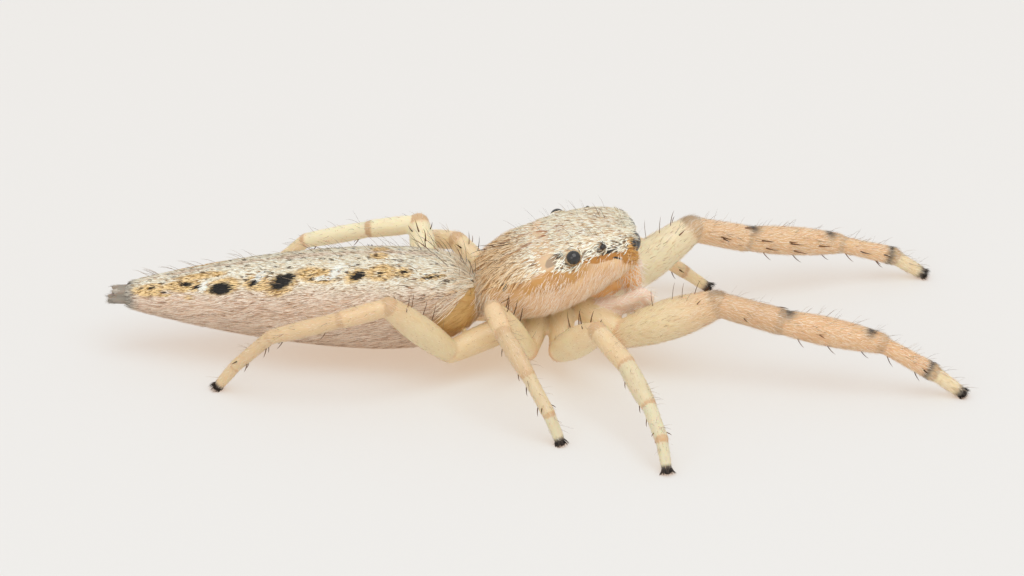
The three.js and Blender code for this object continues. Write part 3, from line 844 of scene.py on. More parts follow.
def limb_skin():
    material = principled("limb_skin", 0.38, **SOFT)
    tree = material.node_tree
    mottle = noise(tree, in_mm(tree), 3.0, 3.0)
    pale = mixed(tree, mottle, (0.76, 0.6, 0.36), (0.84, 0.73, 0.47))
    peach = mixed(tree, mottle, (0.69, 0.42, 0.22), (0.78, 0.52, 0.29))
    dots = put(tree, "TexVoronoi", {"Vector": in_mm(tree), "Scale": 13.0})
    colour = layered(
        tree, pale, (attribute(tree, "peach"), peach), (attribute(tree, "pale"), (0.86, 0.82, 0.58)),
        (stepped(tree, dots, 0.16, 0.06), (0.5, 0.26, 0.1)),
        (attribute(tree, "dark"), (0.05, 0.04, 0.035)))
    return finished(material, colour, 26.0, 2.0, 0.25, 0.01)


def jaw_skin():
    material = principled("jaw_skin", 0.28, **SOFT)
    tree = material.node_tree
    colour = mixed(tree, noise(tree, in_mm(tree), 5.0, 3.0), (0.78, 0.36, 0.1), (0.94, 0.62, 0.28))
    return finished(material, colour, 30.0, 2.0, 0.3, 0.01)


def palp_skin():
    material = principled("palp_skin", 0.4, **SOFT)
    tree = material.node_tree
    colour = mixed(tree, noise(tree, in_mm(tree), 4.0, 3.0), (0.74, 0.53, 0.41), (0.88, 0.71, 0.58))
    return finished(material, colour, 30.0, 2.0, 0.25, 0.01)


def spinneret_skin():
    material = principled("spinneret_skin", 0.5)
    tree = material.node_tree
    colour = mixed(tree, noise(tree, in_mm(tree), 7.0, 3.0), (0.14, 0.12, 0.1), (0.4, 0.35, 0.29))
    height = separate(tree, body_coordinates(tree, position(tree), TAIL))[2]
    colour = mixed(tree, stepped(tree, height, 0.0, 0.2), colour, (0.5, 0.44, 0.37))
    return finished(material, colour, 30.0, 2.0, 0.3, 0.01)


def shaded_hair(name, colours, roughness=0.5, marks=None):
    """A coat's material: its own colours by tone, under the same marks as the skin's."""
    material = principled(name, roughness, Specular_IOR_Level=0.25)
    tree = material.node_tree
    colour = put(tree, "ValToRGB", (attribute(tree, "tone"),))
    elements = colour.node.color_ramp.elements
    while len(elements) < len(colours):
        elements.new(0.5)
    for element, (place, shade) in zip(elements, colours):
        element.position, element.color = place, (*shade, 1)
    return finished(material, marks(tree, colour) if marks else colour)


def hair_marks(tree, group):
    """The marks where each hair is rooted, and the hair's own tone."""
    return use_group(tree, group, {"Position": attribute(tree, "root", "Vector")}), attribute(tree, "tone")


def head_hair_marks(tree, colour):
    marks, tone = hair_marks(tree, HEAD_MARKS)
    golden = mixed(tree, stepped(tree, tone, 0.0, 0.7), (0.3, 0.14, 0.04), (0.92, 0.69, 0.41))
    return layered(
        tree, colour, (times(tree, marks["Rear"], 0.8), golden),
        (times(tree, marks["Russet"], 0.7), (0.5, 0.24, 0.1)),
        (times(tree, marks["Shade"], stepped(tree, tone, 0.24, 0.12)), (0.09, 0.065, 0.045)),
        (marks["Dark"], (0.02, 0.016, 0.014)))


def tail_hair_marks(tree, colour):
    marks, tone = hair_marks(tree, TAIL_MARKS)
    midline = mixed(tree, stepped(tree, tone, 0.1, 0.5), (0.16, 0.09, 0.05), (0.84, 0.66, 0.5))
    flank = mixed(tree, stepped(tree, tone, 0.0, 0.42), (0.3, 0.16, 0.08), (0.93, 0.82, 0.69))
    gold = mixed(tree, stepped(tree, tone, 0.05, 0.5), (0.26, 0.12, 0.03), (0.92, 0.69, 0.36))
    waist = mixed(tree, tone, (0.42, 0.22, 0.06), (0.86, 0.62, 0.3))
    tip = mixed(tree, tone, (0.1, 0.09, 0.08), (0.7, 0.64, 0.54))
    return layered(
        tree, colour, (times(tree, marks["Midline"], 0.6), midline), (marks["Flank"], flank),
        (times(tree, marks["Gold"], stepped(tree, tone, 0.06, 0.14)), gold),
        (times(tree, marks["White"], stepped(tree, tone, 0.05, 0.3)), (0.93, 0.93, 0.86)),
        (times(tree, marks["Specks"], 0.9), (0.06, 0.035, 0.018)), (marks["Waist"], waist),
        (marks["Tip"], tip), (marks["Black"], (0.012, 0.01, 0.009)))


def limb_hair_marks(tree, colour):
    return mixed(tree, attribute(tree, "dark"), colour, (0.035, 0.03, 0.028))


# ---- Hairs and scales -----------------------------------------------------------------------

TUFT_PATCH = 0.003  # of the unwrap, for one hair
FLOOR_ROOM = 0.02  # hairs that come lower than this lie along the floor
# How wide a hair is at each step up from its root, as shares of its width.
SCALE, HAIR, LOCK, BRISTLE = (0.55, 1.0), (0.9, 0.6), (0.9, 0.8, 0.5), (1.0, 0.85, 0.65, 0.4)


def body_unwrap(pose, start, end):
    """An unwrap of one half of the body: along it, and round it from under the belly."""
    def unwrap(points, parts):
        inner = within(points, pose)
        across = inner[:, 1], inner[:, 2] - (0.6 if pose == HEAD else 0)
        return np.stack(((inner[:, 0] - start) / (end - start),
                         (np.arctan2(*across) / np.pi + 1) / 2), 1)
    return unwrap


def limb_unwrap(points, parts):
    """Each limb has its own strip: along it, and round it."""
    _, along, angle = limb_places(points, parts)
    rows, columns = np.maximum(parts - 2, 0), 8
    lines = -(-len(LIMBS) // columns)
    return np.stack(((rows % columns + 0.05 + 0.9 * along) / columns,
                     (rows // columns + 0.05 + 0.9 * (angle / 360 + 0.5)) / lines), 1)


UNWRAPS = {"head": body_unwrap(HEAD, -0.3, 4), "tail": body_unwrap(TAIL, -8.4, 0.5), "limb": limb_unwrap}


def spread(values, count):
    """One value for each hair, drawn evenly between two limits, or the same for all."""
    if isinstance(values, tuple):
        return draw.uniform(*values, count)
    return np.broadcast_to(np.asarray(values, float), (count,)).copy()


def over_floor(points):
    """Bends what would sink into the floor up along it."""
    height = points[..., 2]
    low = height < FLOOR_ROOM
    height[low] = FLOOR_ROOM * np.exp((height[low] - FLOOR_ROOM) / FLOOR_ROOM)
    return points


def spike_faces(layers):
    """The triangles of one closed spike of three sides, from its base to its tip."""
    faces, tip = [(0, 2, 1)], 3 * layers
    for start in range(0, tip, 3):
        for a, b in ((start, start + 1), (start + 1, start + 2), (start + 2, start)):
            last = start + 3 == tip
            faces += [(a, b, tip)] if last else [(a, b, b + 3), (a, b + 3, a + 3)]
    return np.array(faces)


def unwrapped(piece, middle, share, triangles):
    """Gives each hair a small patch of the unwrap, at its root's place."""
    local = np.stack((np.append(np.repeat(share[:-1], 3), 1),
                      np.append(np.tile((0.1, 0.9, 0.5), len(share) - 1), 0.5)), 1)
    middle = np.clip(middle, TUFT_PATCH, 1 - TUFT_PATCH)
    patch = middle[:, None, :] + (local - 0.5) * TUFT_PATCH
    layer = piece.data.uv_layers.new(name="OFBake")
    layer.uv.foreach_set("vector", patch.reshape(-1, 2)[triangles.ravel()].astype(np.float32).ravel())


def grow(name, roots, ways, length, width, material, slot, unwrap, lift=(14, 26), curl=0.12, sway=0.1,
         profile=HAIR, flat=0.5, sunk=0.006, **masks):
    """One piece of tapered hairs or scales. Each is a closed spike of three sides that rises from
    the skin by its lift and bends back to it by its curl."""
    points, normals, parts = roots
    count, layers = len(points), len(profile)
    length, width, lift = spread(length, count), spread(width, count), np.radians(spread(lift, count))
    bend = draw.normal(0, sway, count)
    ways = unit(ways - normals * (ways * normals).sum(1)[:, None])
    aside = np.cross(ways, normals)
    base = points - sunk * normals
    share = np.arange(layers + 1) / layers
    run, rise = np.cos(lift)[:, None] * share, np.sin(lift)[:, None] * share - curl * share ** 2
    line = (base[:, None] + length[:, None, None] * (
        ways[:, None] * run[..., None] + normals[:, None] * rise[..., None]
        + aside[:, None] * (bend[:, None] * share ** 2)[..., None]))
    corner = np.radians((150, 30, 270))
    half = width[:, None, None] / 2 * np.array(profile)[None, :, None]
    ring = (line[:, :layers, None] + (half * np.cos(corner))[..., None] * aside[:, None, None]
            + (half * flat * np.sin(corner))[..., None] * normals[:, None, None])
    corners = over_floor(np.concatenate((ring.reshape(count, -1, 3), line[:, layers:]), 1))
    size = corners.shape[1]
    triangles = spike_faces(layers)[None] + size * np.arange(count)[:, None, None]
    piece = joined_mesh(name, corners.reshape(-1, 3), triangles.reshape(-1, 3))
    unwrapped(piece, UNWRAPS[unwrap](points, parts), share, triangles)
    roots_in_row = (points + np.array(ORIGIN)) * MM
    for label, values in {"tone": draw.random(count), **masks, "root": roots_in_row}.items():
        note(piece, label, np.repeat(values, size, axis=0))
    return kept(piece, material, smooth=False)


def joined_mesh(name, points, triangles):
    """A mesh of many like closed shapes, from arrays of their points and triangles."""
    mesh = bpy.data.meshes.new(name)
    mesh.vertices.add(len(points))
    mesh.vertices.foreach_set("co", points.astype(np.float32).ravel())
    mesh.loops.add(triangles.size)
    mesh.loops.foreach_set("vertex_index", triangles.astype(np.int32).ravel())
    mesh.polygons.add(len(triangles))
    mesh.polygons.foreach_set("loop_start", np.arange(0, triangles.size, 3, dtype=np.int32))
    mesh.update(calc_edges=True)
    piece = bpy.data.objects.new(name, mesh)
    bpy.context.collection.objects.link(piece)
    return piece


def note(piece, label, values):
    """Keeps a value or a vector at each point of a piece, for its material."""
    kind, field = ("FLOAT", "value") if values.ndim == 1 else ("FLOAT_VECTOR", "vector")
    data = piece.data.attributes.new(label, kind, "POINT").data
    data.foreach_set(field, values.astype(np.float32).ravel())


def kept(piece, material, smooth=True):
    """Finishes a piece: its material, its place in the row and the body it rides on."""
    if material is not None:
        piece.data.materials.append(material)
    piece.data.polygons.foreach_set("use_smooth", [smooth] * len(piece.data.polygons))
    into_row(piece)
    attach(piece, "root")
    return piece


def tail_angle(points):
    """Place along the abdomen, and angle from its top."""
    inner = within(points, TAIL)
    return inner[:, 0], np.degrees(np.arctan2(np.abs(inner[:, 1]), inner[:, 2]))


def backward(points, pose, down):
    """Ways that run back along one half of the body, and down its sides by a share."""
    side = np.sign(within(points, pose)[:, 1])
    return directed(np.stack((0 * side - 1, side * 0.4 * down, 0 * side - down), 1), pose)


def waved(points, ways, amount, scale=2.2):
    """Ways turned a little to and fro in locks."""
    phase = np.sin(points @ np.array((2.1, 1.3, 3.1)) * scale) + np.sin(
        points @ np.array((-1.2, 2.7, 1.9)) * scale * 1.7)
    jitter = draw.normal(0, 0.5 * amount, len(points))
    return ways + (phase * amount + jitter)[:, None] * np.array((0.0, 0.35, 1.0))


def round_eyes(points, normals, ways):
    """Ways turned along the rims of the eyes, so that the coat parts round them."""
    gaps, out = from_eyes(points)
    near = np.clip(1 - gaps / 0.13, 0, 1)[:, None]
    rim = unit(np.cross(out, normals))
    rim *= np.where((rim * ways).sum(1) < 0, -1, 1)[:, None]
    return ways * (1 - 0.8 * near) + near * (1.2 * rim + 0.25 * out)


CREAM = ((0.0, (0.2, 0.12, 0.06)), (0.07, (0.6, 0.38, 0.2)), (0.16, (0.86, 0.72, 0.5)),
         (0.4, (0.94, 0.89, 0.73)), (0.8, (0.95, 0.95, 0.82)), (1.0, (0.97, 0.97, 0.92)))
BLUSH = ((0.0, (0.66, 0.38, 0.18)), (0.3, (0.88, 0.66, 0.45)), (0.7, (0.93, 0.8, 0.65)),
         (1.0, (0.96, 0.9, 0.82)))
STRAW = ((0.0, (0.22, 0.1, 0.03)), (0.2, (0.56, 0.29, 0.1)), (0.42, (0.88, 0.61, 0.32)),
         (1.0, (0.96, 0.83, 0.6)))
CHALK = ((0.0, (0.1, 0.06, 0.03)), (0.13, (0.42, 0.25, 0.12)), (0.24, (0.8, 0.62, 0.4)),
         (0.6, (0.89, 0.79, 0.6)), (1.0, (0.95, 0.91, 0.79)))
SNOW = ((0.0, (0.14, 0.08, 0.03)), (0.04, (0.5, 0.32, 0.16)), (0.1, (0.82, 0.71, 0.52)),
        (0.5, (0.88, 0.84, 0.7)), (1.0, (0.94, 0.95, 0.87)))
ROSE = ((0.0, (0.36, 0.19, 0.07)), (0.12, (0.78, 0.55, 0.33)), (0.35, (0.93, 0.79, 0.6)),
        (1.0, (0.96, 0.9, 0.77)))
WHITE = ((0.0, (0.85, 0.72, 0.56)), (0.5, (0.94, 0.88, 0.78)), (1.0, (0.97, 0.95, 0.9)))
PALE = ((0.0, (0.3, 0.18, 0.1)), (0.12, (0.75, 0.53, 0.33)), (0.3, (0.92, 0.78, 0.58)),
        (1.0, (0.96, 0.89, 0.76)))
DARK = ((0.0, (0.018, 0.014, 0.012)), (1.0, (0.07, 0.05, 0.04)))
BROWN = ((0.0, (0.045, 0.02, 0.01)), (1.0, (0.17, 0.075, 0.03)))
SMOKE = ((0.0, (0.12, 0.07, 0.04)), (1.0, (0.5, 0.38, 0.27)))
ASH = ((0.0, (0.08, 0.07, 0.06)), (1.0, (0.55, 0.49, 0.41)))
AMBER = ((0.0, (0.35, 0.16, 0.04)), (0.35, (0.7, 0.36, 0.09)), (1.0, (0.9, 0.62, 0.26)))


# The lower edge of the head's scales: place along it, and height.
SCALE_EDGE = ((0.2, 0.92), (0.6, 1.08), (1.15, 1.12), (1.45, 1.22), (1.7, 1.28), (1.95, 1.18),
              (2.24, 1.1), (2.45, 1.22), (2.8, 1.3), (3.15, 1.26), (3.5, 1.14))


def scale_places(points):
    """Places on the head, and how far above the lower edge of its scales they lie."""
    inner = within(points, HEAD)
    return inner, inner[:, 2] - np.interp(inner[:, 0], *np.transpose(SCALE_EDGE))


def head_scales():
    """Flat cream scales on top of the head."""
    def on_top(points):
        inner, above = scale_places(points)
        along = inner[:, 0] - 1.7
        bare = (np.hypot(along, 1.5 * (inner[:, 2] - 1.37)) < 0.17) & (np.abs(inner[:, 1]) > 0.7)
        sparse = np.hypot(along, inner[:, 2] - 1.47) < 0.24
        bare |= sparse & (draw.random(len(points)) < 0.65)
        return (above > draw.normal(0, 0.025, len(points))) & ~bare

    roots = strewn(("head",), 0.041, on_top)
    ways = round_eyes(*roots[:2], waved(roots[0], backward(roots[0], HEAD, 0.25), 0.16))
    grow("head_scales", roots, ways, (0.11, 0.19), (0.019, 0.033),
         shaded_hair("head_scales", CREAM, 0.45, head_hair_marks), "carapace", "head",
         lift=(8, 17), curl=0.07, profile=SCALE, flat=0.35)


def cheek_hairs():
    """Fine blush hairs down the cheeks."""
    def on_cheek(points):
        inner, above = scale_places(points)
        lower = carapace_section(inner[:, 0])[2]
        thinned = np.clip(0.25 - 2.2 * (above + 0.14), 0.14, 1)
        thinned *= np.where(inner[:, 2] - lower < 0.15, 0.12, 1)
        return (above < 0) & (draw.random(len(points)) < thinned)

    roots = strewn(("head",), 0.04, on_cheek)
    inner = within(roots[0], HEAD)
    ways = np.zeros_like(inner)
    ways[:, 0], ways[:, 2] = -0.7 - 0.5 * (inner[:, 0] < 1.2), -1
    ways = waved(roots[0], directed(ways, HEAD), 0.3)
    grow("cheek_hairs", roots, ways, (0.16, 0.28), (0.011, 0.018),
         shaded_hair("cheek_hairs", BLUSH), "carapace", "head", lift=(8, 18), curl=0.12, sway=0.2)


def nape_hairs():
    """Longer hairs that run back over the head's rear slope."""
    def at_rear(points):
        inner, above = scale_places(points)
        return (above > -0.04) & (draw.random(len(points)) < np.clip(1.5 - inner[:, 0], 0, 1))

    roots = strewn(("head",), 0.06, at_rear)
    ways = waved(roots[0], backward(roots[0], HEAD, 0.8), 0.25)
    grow("nape_hairs", roots, ways, (0.28, 0.46), (0.015, 0.024),
         shaded_hair("nape_hairs", STRAW), "carapace", "head", lift=(11, 25), curl=0.22, profile=LOCK)


def margin_hairs():
    """A loose fringe round the head's rear edge."""
    roots = strewn(("head",), 0.055, lambda points: within(points, HEAD)[:, 0] < 0.3)
    ways = waved(roots[0], backward(roots[0], HEAD, 0.5), 0.5)
    grow("margin_hairs", roots, ways, (0.3, 0.5), (0.014, 0.021), shaded_hair("margin_hairs", ROSE),
         "carapace", "head", lift=(15, 38), curl=0.22, profile=LOCK)


def brow_hairs():
    """A visor of hairs over the front eyes. They keep their own way, however the skin faces."""
    def over_eyes(points):
        inner = within(points, HEAD)
        return (inner[:, 0] > 3.3) & (inner[:, 2] > 1.2) & (np.abs(inner[:, 1]) < 0.62)

    roots = strewn(("head",), 0.036, over_eyes)
    stray = draw.normal(0, (0.05, 0.12, 0.08), roots[0].shape)
    ways = unit(directed(np.array((1, 0, -0.42)) + stray, HEAD))
    lift = np.degrees(np.arcsin(np.clip((ways * roots[1]).sum(1), 0.08, 0.98)))
    grow("brow_hairs", roots, ways, (0.18, 0.27), (0.018, 0.028), shaded_hair("brow_hairs", CREAM),
         "carapace", "head", lift=lift, curl=0.1, profile=LOCK, flat=0.35)


# Hairs of the face: name, lowest and highest place, how far ahead they begin, colours, how far
# they hang, and length.
FACE_HAIRS = (
    ("eye_rims", 0.7, 1.34, 3.42, AMBER, 0.2, (0.1, 0.16)),
    ("lip_hairs", 0.3, 0.7, 3.5, WHITE, 1.6, (0.14, 0.24)),
)


def face_hairs():
    """Amber hairs between the front eyes and white ones under them."""
    for name, low, high, back, colours, down, length in FACE_HAIRS:
        def in_front(points):
            inner = within(points, HEAD)
            return (inner[:, 0] > back) & (inner[:, 2] > low) & (inner[:, 2] < high)

        roots = strewn(("head",), 0.042, in_front)
        side = np.sign(within(roots[0], HEAD)[:, 1])
        gaps, away = from_eyes(roots[0])
        ways = directed(np.stack((0 * side + 1, 0.2 * side, 0 * side - down), 1), HEAD)
        ways = ways + (0.3 * np.clip(1 - gaps / 0.12, 0, 1))[:, None] * away
        ways += draw.normal(0, 0.14, ways.shape)
        grow(name, roots, ways, length, (0.013, 0.021), shaded_hair(name, colours),
             "carapace", "head", lift=(20, 50), curl=0.15, profile=LOCK)


def waist_is_bare(points):
    x, angle = tail_angle(points)
    return (x > -WAIST_BARE) & (angle > 92 - WAIST_RISE * (x + WAIST_BARE) ** 2)


def back_scales():
    """Flat chalky scales over the abdomen's back."""
    def on_back(points):
        x, angle = tail_angle(points)
        return (angle < draw.normal(62, 6, len(points))) & ~waist_is_bare(points) & (x > COAT_END)

    roots = strewn(("tail",), 0.037, on_back)
    ways = waved(roots[0], backward(roots[0], TAIL, 0.12), 0.15)
    grow("back_scales", roots, ways, (0.1, 0.17), (0.018, 0.031),
         shaded_hair("back_scales", SNOW, marks=tail_hair_marks), "abdomen", "tail", lift=(8, 17),
         curl=0.07, profile=SCALE, flat=0.35)


def flank_hairs():
    """Fine hairs down the abdomen's flanks."""
    def on_flank(points):
        x, angle = tail_angle(points)
        covered = ~waist_is_bare(points) | (draw.random(len(points)) < 0.3)
        return (angle > draw.normal(55, 5, len(points))) & covered & (x > COAT_END)

    roots = strewn(("tail",), 0.047, on_flank)
    ways = waved(roots[0], backward(roots[0], TAIL, 0.1), 0.1)
    grow("flank_hairs", roots, ways, (0.16, 0.27), (0.012, 0.019),
         shaded_hair("flank_hairs", CHALK, marks=tail_hair_marks), "abdomen", "tail", lift=(9, 18),
         curl=0.08)


def waist_fringe():
    """Longer hairs that hang over the front of the abdomen."""
    def at_waist(points):
        x = tail_angle(points)[0]
        return (draw.random(len(points)) < np.clip(0.9 * (0.9 + x), 0, 0.7)) & ~waist_is_bare(points)

    roots = strewn(("tail",), 0.055, at_waist)
    _, y, z = within(roots[0], TAIL).T
    ways = directed(np.stack((0 * y - 0.4, 0.9 * y, 0.9 * z - 0.45), 1), TAIL)
    grow("waist_fringe", roots, ways, (0.32, 0.56), (0.017, 0.027),
         shaded_hair("waist_fringe", ROSE), "abdomen", "tail", lift=(12, 34), curl=0.3, profile=LOCK)


# Hairs of the legs: name, parts, how far apart they stand, length, width and slot.
FRONT_LEGS = tuple(f"{segment}_{side}1" for segment in SEGMENTS for side in SIDES)
OTHER_LEGS = tuple(f"{segment}_{side}{n}" for segment in SEGMENTS for side in SIDES for n in (2, 3, 4))
LEG_HAIRS = (
    ("front_leg_hairs", FRONT_LEGS, 0.056, (0.12, 0.2), (0.009, 0.014), "front_leg"),
    ("leg_hairs", OTHER_LEGS, 0.085, (0.1, 0.17), (0.008, 0.011), "leg"),
    ("coxa_hairs", ("coxa", "breast", "mouth", "waist"), 0.1, (0.1, 0.2), (0.008, 0.012), "leg"),
)
# Other small hairs: name, part, how far apart, how much their ways stray, length, width, colours,
# slot, lift and curl.
SMALL_HAIRS = (
    ("palp_hairs", "palp", 0.062, 0.45, (0.18, 0.36), (0.01, 0.015), WHITE, "palp", (20, 50), 0.2),
    ("jaw_hairs", "chelicera", 0.068, 0.7, (0.2, 0.36), (0.011, 0.016), WHITE, "chelicera", (15, 40), 0.2),
    ("spinneret_hairs", "spinneret", 0.045, 0.2, (0.08, 0.17), (0.009, 0.013), ASH, "spinnerets",
     (12, 30), 0.15),
)


def leg_hairs():
    """Fine hairs along the legs, denser on the stout front pair."""
    material = shaded_hair("leg_hairs", PALE, marks=limb_hair_marks)
    for name, names, spacing, length, width, slot in LEG_HAIRS:
        roots = strewn(names, spacing)
        ways = limb_places(roots[0], roots[2])[0] + draw.normal(0, 0.18, roots[0].shape)
        grow(name, roots, ways, length, width, material, slot, "limb", lift=(12, 30), curl=0.18,
             dark=leg_marks(roots[0], roots[2])[0])


def small_hairs():
    """Hairs of the palps, the chelicerae and the spinnerets."""
    for name, part, spacing, stray, length, width, colours, slot, lift, curl in SMALL_HAIRS:
        roots = strewn((part,), spacing)
        ways = limb_places(roots[0], roots[2])[0] + draw.normal(0, stray, roots[0].shape)
        grow(name, roots, ways, length, width, shaded_hair(name, colours), slot, "limb", lift=lift,
             curl=curl)


# ---- Bristles and spines ---------------------------------------------------------------------

SKIN_TREE = BVHTree.FromPolygons([tuple(p) for p in skin_points], skin_corners.tolist())
# Spines of a leg: segment, share of its length, angle up from its left, length and lift.
SPINES = (
    (0, 0.42, 95, 0.62, 72), (0, 0.6, 84, 0.58, 70), (0, 0.72, 96, 0.54, 68), (0, 0.84, 80, 0.48, 62),
    (0, 0.86, 140, 0.26, 55), (0, 0.86, 40, 0.26, 55), (1, 0.5, 178, 0.22, 50), (1, 0.5, 2, 0.22, 50),
    (2, 0.22, -62, 0.32, 50), (2, 0.22, -118, 0.32, 50), (2, 0.52, -62, 0.34, 48),
    (2, 0.52, -118, 0.34, 48), (2, 0.84, -62, 0.3, 48), (2, 0.84, -118, 0.3, 48),
    (2, 0.4, 172, 0.24, 50), (2, 0.4, 8, 0.24, 50), (3, 0.2, -62, 0.34, 46), (3, 0.2, -118, 0.34, 46),
    (3, 0.74, -62, 0.3, 42), (3, 0.74, -118, 0.3, 42), (3, 0.82, 165, 0.22, 48), (3, 0.82, 15, 0.22, 48),
)
# And more on the inner side of the front pair, with the angle up from that side.
INNER_SPINES = (
    (1, 0.45, 6, 0.34, 24), (1, 0.9, 70, 0.3, 20), (2, 0.14, 18, 0.34, 24), (2, 0.2, -16, 0.36, 24),
    (2, 0.45, 12, 0.36, 24), (2, 0.5, -20, 0.4, 26), (2, 0.76, 8, 0.36, 24), (3, 0.4, 4, 0.32, 24),
)


# Bristles of the body: half of it, places along it, angles round it from the top, how many, length,
# width, lift, colours, and how high the axis lies that they stand out from.
BODY_BRISTLES = (
    ("back_bristles", TAIL, (-7.4, -0.6), (-55, 55), 100, (0.38, 0.6), 0.012, (34, 54), SMOKE, 0.0),
    ("waist_bristles", TAIL, (-1.5, -0.04), (-70, 70), 40, (0.48, 0.78), 0.021, (36, 66), BROWN, 0.0),
    ("nape_bristles", HEAD, (0.2, 1.3), (-90, 90), 20, (0.36, 0.6), 0.018, (30, 55), BROWN, 0.5),
    ("crown_bristles", HEAD, (1.2, 3.3), (-60, 60), 34, (0.34, 0.62), 0.012, (60, 84), BROWN, 0.6),
    ("brow_bristles", HEAD, (2.3, 3.2), (-32, 32), 5, (0.42, 0.56), 0.024, (66, 80), BROWN, 0.6),
)
# How many thin hairs stand up from each segment of a front leg. Other legs have a third.
LEG_BRISTLES = (6, 18, 34, 24, 12)


def struck(origins, ways):
    """Roots where rays from inside meet the skin, and which of the rays do."""
    found, hits = [], []
    for number, (origin, way) in enumerate(zip(origins, ways)):
        point, normal, face, _ = SKIN_TREE.ray_cast(Vector(origin), Vector(way), 2.0)
        if point is not None:
            outward = normal if normal.dot(Vector(way)) > 0 else -normal
            found.append((point, outward, skin_part[skin_corners[face, 0]]))
            hits.append(number)
    points, normals, parts = zip(*found)
    return (np.array(points), np.array(normals), np.array(parts)), np.array(hits)


def leg_rays(rows):
    """Rays out from the axes of legs. A row is a leg, a segment, its share and an angle."""
    origins, outs, ways = [], [], []
    for leg, segment, share, angle in rows:
        start, end = LEGS[leg][segment + 1], LEGS[leg][segment + 2]
        way, side, up = limb_axes(start, end)
        turn = math.radians(angle)
        origins.append(start + share * (end - start))
        outs.append(math.cos(turn) * side + math.sin(turn) * up)
        ways.append(way)
    return np.array(origins), np.array(outs), np.array(ways)


def leg_spines():
    """Dark spines in the usual rows along the legs."""
    rows, sizes = [], []
    for leg in STANCE:
        share = 1 if leg[1] == "1" else 0.85
        for segment, along, angle, length, lift in SPINES:
            if segment == 0 or leg[1] == "1" or abs(along - 0.5) > 0.1:
                rows.append((leg, segment, along + draw.normal(0, 0.015), angle + draw.normal(0, 5)))
                sizes.append((length * share, lift))
        for segment, along, angle, length, lift in INNER_SPINES if leg[1] == "1" else ():
            rows.append((leg, segment, along, 180 - angle if leg[0] == "l" else angle))
            sizes.append((length, lift))
    origins, outs, ways = leg_rays(rows)
    roots, hits = struck(origins, outs)
    length, lift = np.array(sizes)[hits].T
    grow("spines", roots, ways[hits], length, 0.038, shaded_hair("spines", BROWN, 0.35), "leg", "limb",
         lift=lift, curl=0.25, sway=0.05, profile=BRISTLE, flat=1)


def leg_bristles():
    """Thin pale hairs that stand up from the legs."""
    rows = []
    for leg in STANCE:
        for segment, count in enumerate(LEG_BRISTLES):
            count = count if leg[1] == "1" else count // 3
            rows += [(leg, segment, draw.uniform(0.05, 0.98), draw.uniform(15, 165))
                     for _ in range(count)]
    origins, outs, ways = leg_rays(rows)
    roots, hits = struck(origins, outs)
    grow("leg_bristles", roots, ways[hits], (0.24, 0.5), 0.0105, shaded_hair("leg_bristles", SMOKE),
         "leg", "limb", lift=(48, 80), curl=0.3, sway=0.15, profile=BRISTLE, flat=1)


def body_bristles():
    """Dark bristles that lean back over the abdomen and head, and stouter ones at the waist."""
    for name, pose, reach, round_, count, length, width, lift, colours, height in BODY_BRISTLES:
        x, turn = draw.uniform(*reach, count), np.radians(draw.uniform(*round_, count))
        origins = moved(np.stack((x, 0 * x, 0 * x + height), 1), pose)
        outs = directed(np.stack((0 * x, np.sin(turn), np.cos(turn)), 1), pose)
        roots, hits = struck(origins, outs)
        clear = from_eyes(roots[0])[0] > 0.03
        roots = tuple(values[clear] for values in roots)
        slot, unwrap = ("abdomen", "tail") if pose == TAIL else ("carapace", "head")
        grow(name, roots, backward(roots[0], pose, 0.15), length, width,
             shaded_hair(name, colours, 0.4), slot, unwrap, lift=lift, curl=0.25, sway=0.15,
             profile=BRISTLE, flat=1)


# ---- Eyes and feet ---------------------------------------------------------------------------


def lenses():
    """Eight smooth dark lenses."""
    material = principled("lens", 0.12, (0.014, 0.013, 0.013), Coat_Weight=0.5, Coat_Roughness=0.1)
    for name, (centre, radius) in LENSES.items():
        bpy.ops.object.select_all(action="DESELECT")
        bpy.ops.mesh.primitive_uv_sphere_add(segments=40, ring_count=24, radius=radius)
        lens = bpy.context.object
        lens.name = lens.data.name = f"lens_{name}"
        lens.data.transform(Matrix.Translation(Vector(centre)))
        kept(lens, material)
        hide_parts(f"eye_{name}")


PAD = np.array((0.085, 0.085, 0.062))  # half sizes of a foot's pad
TUFT_HAIRS, TUFT_SPREAD = 170, 0.115


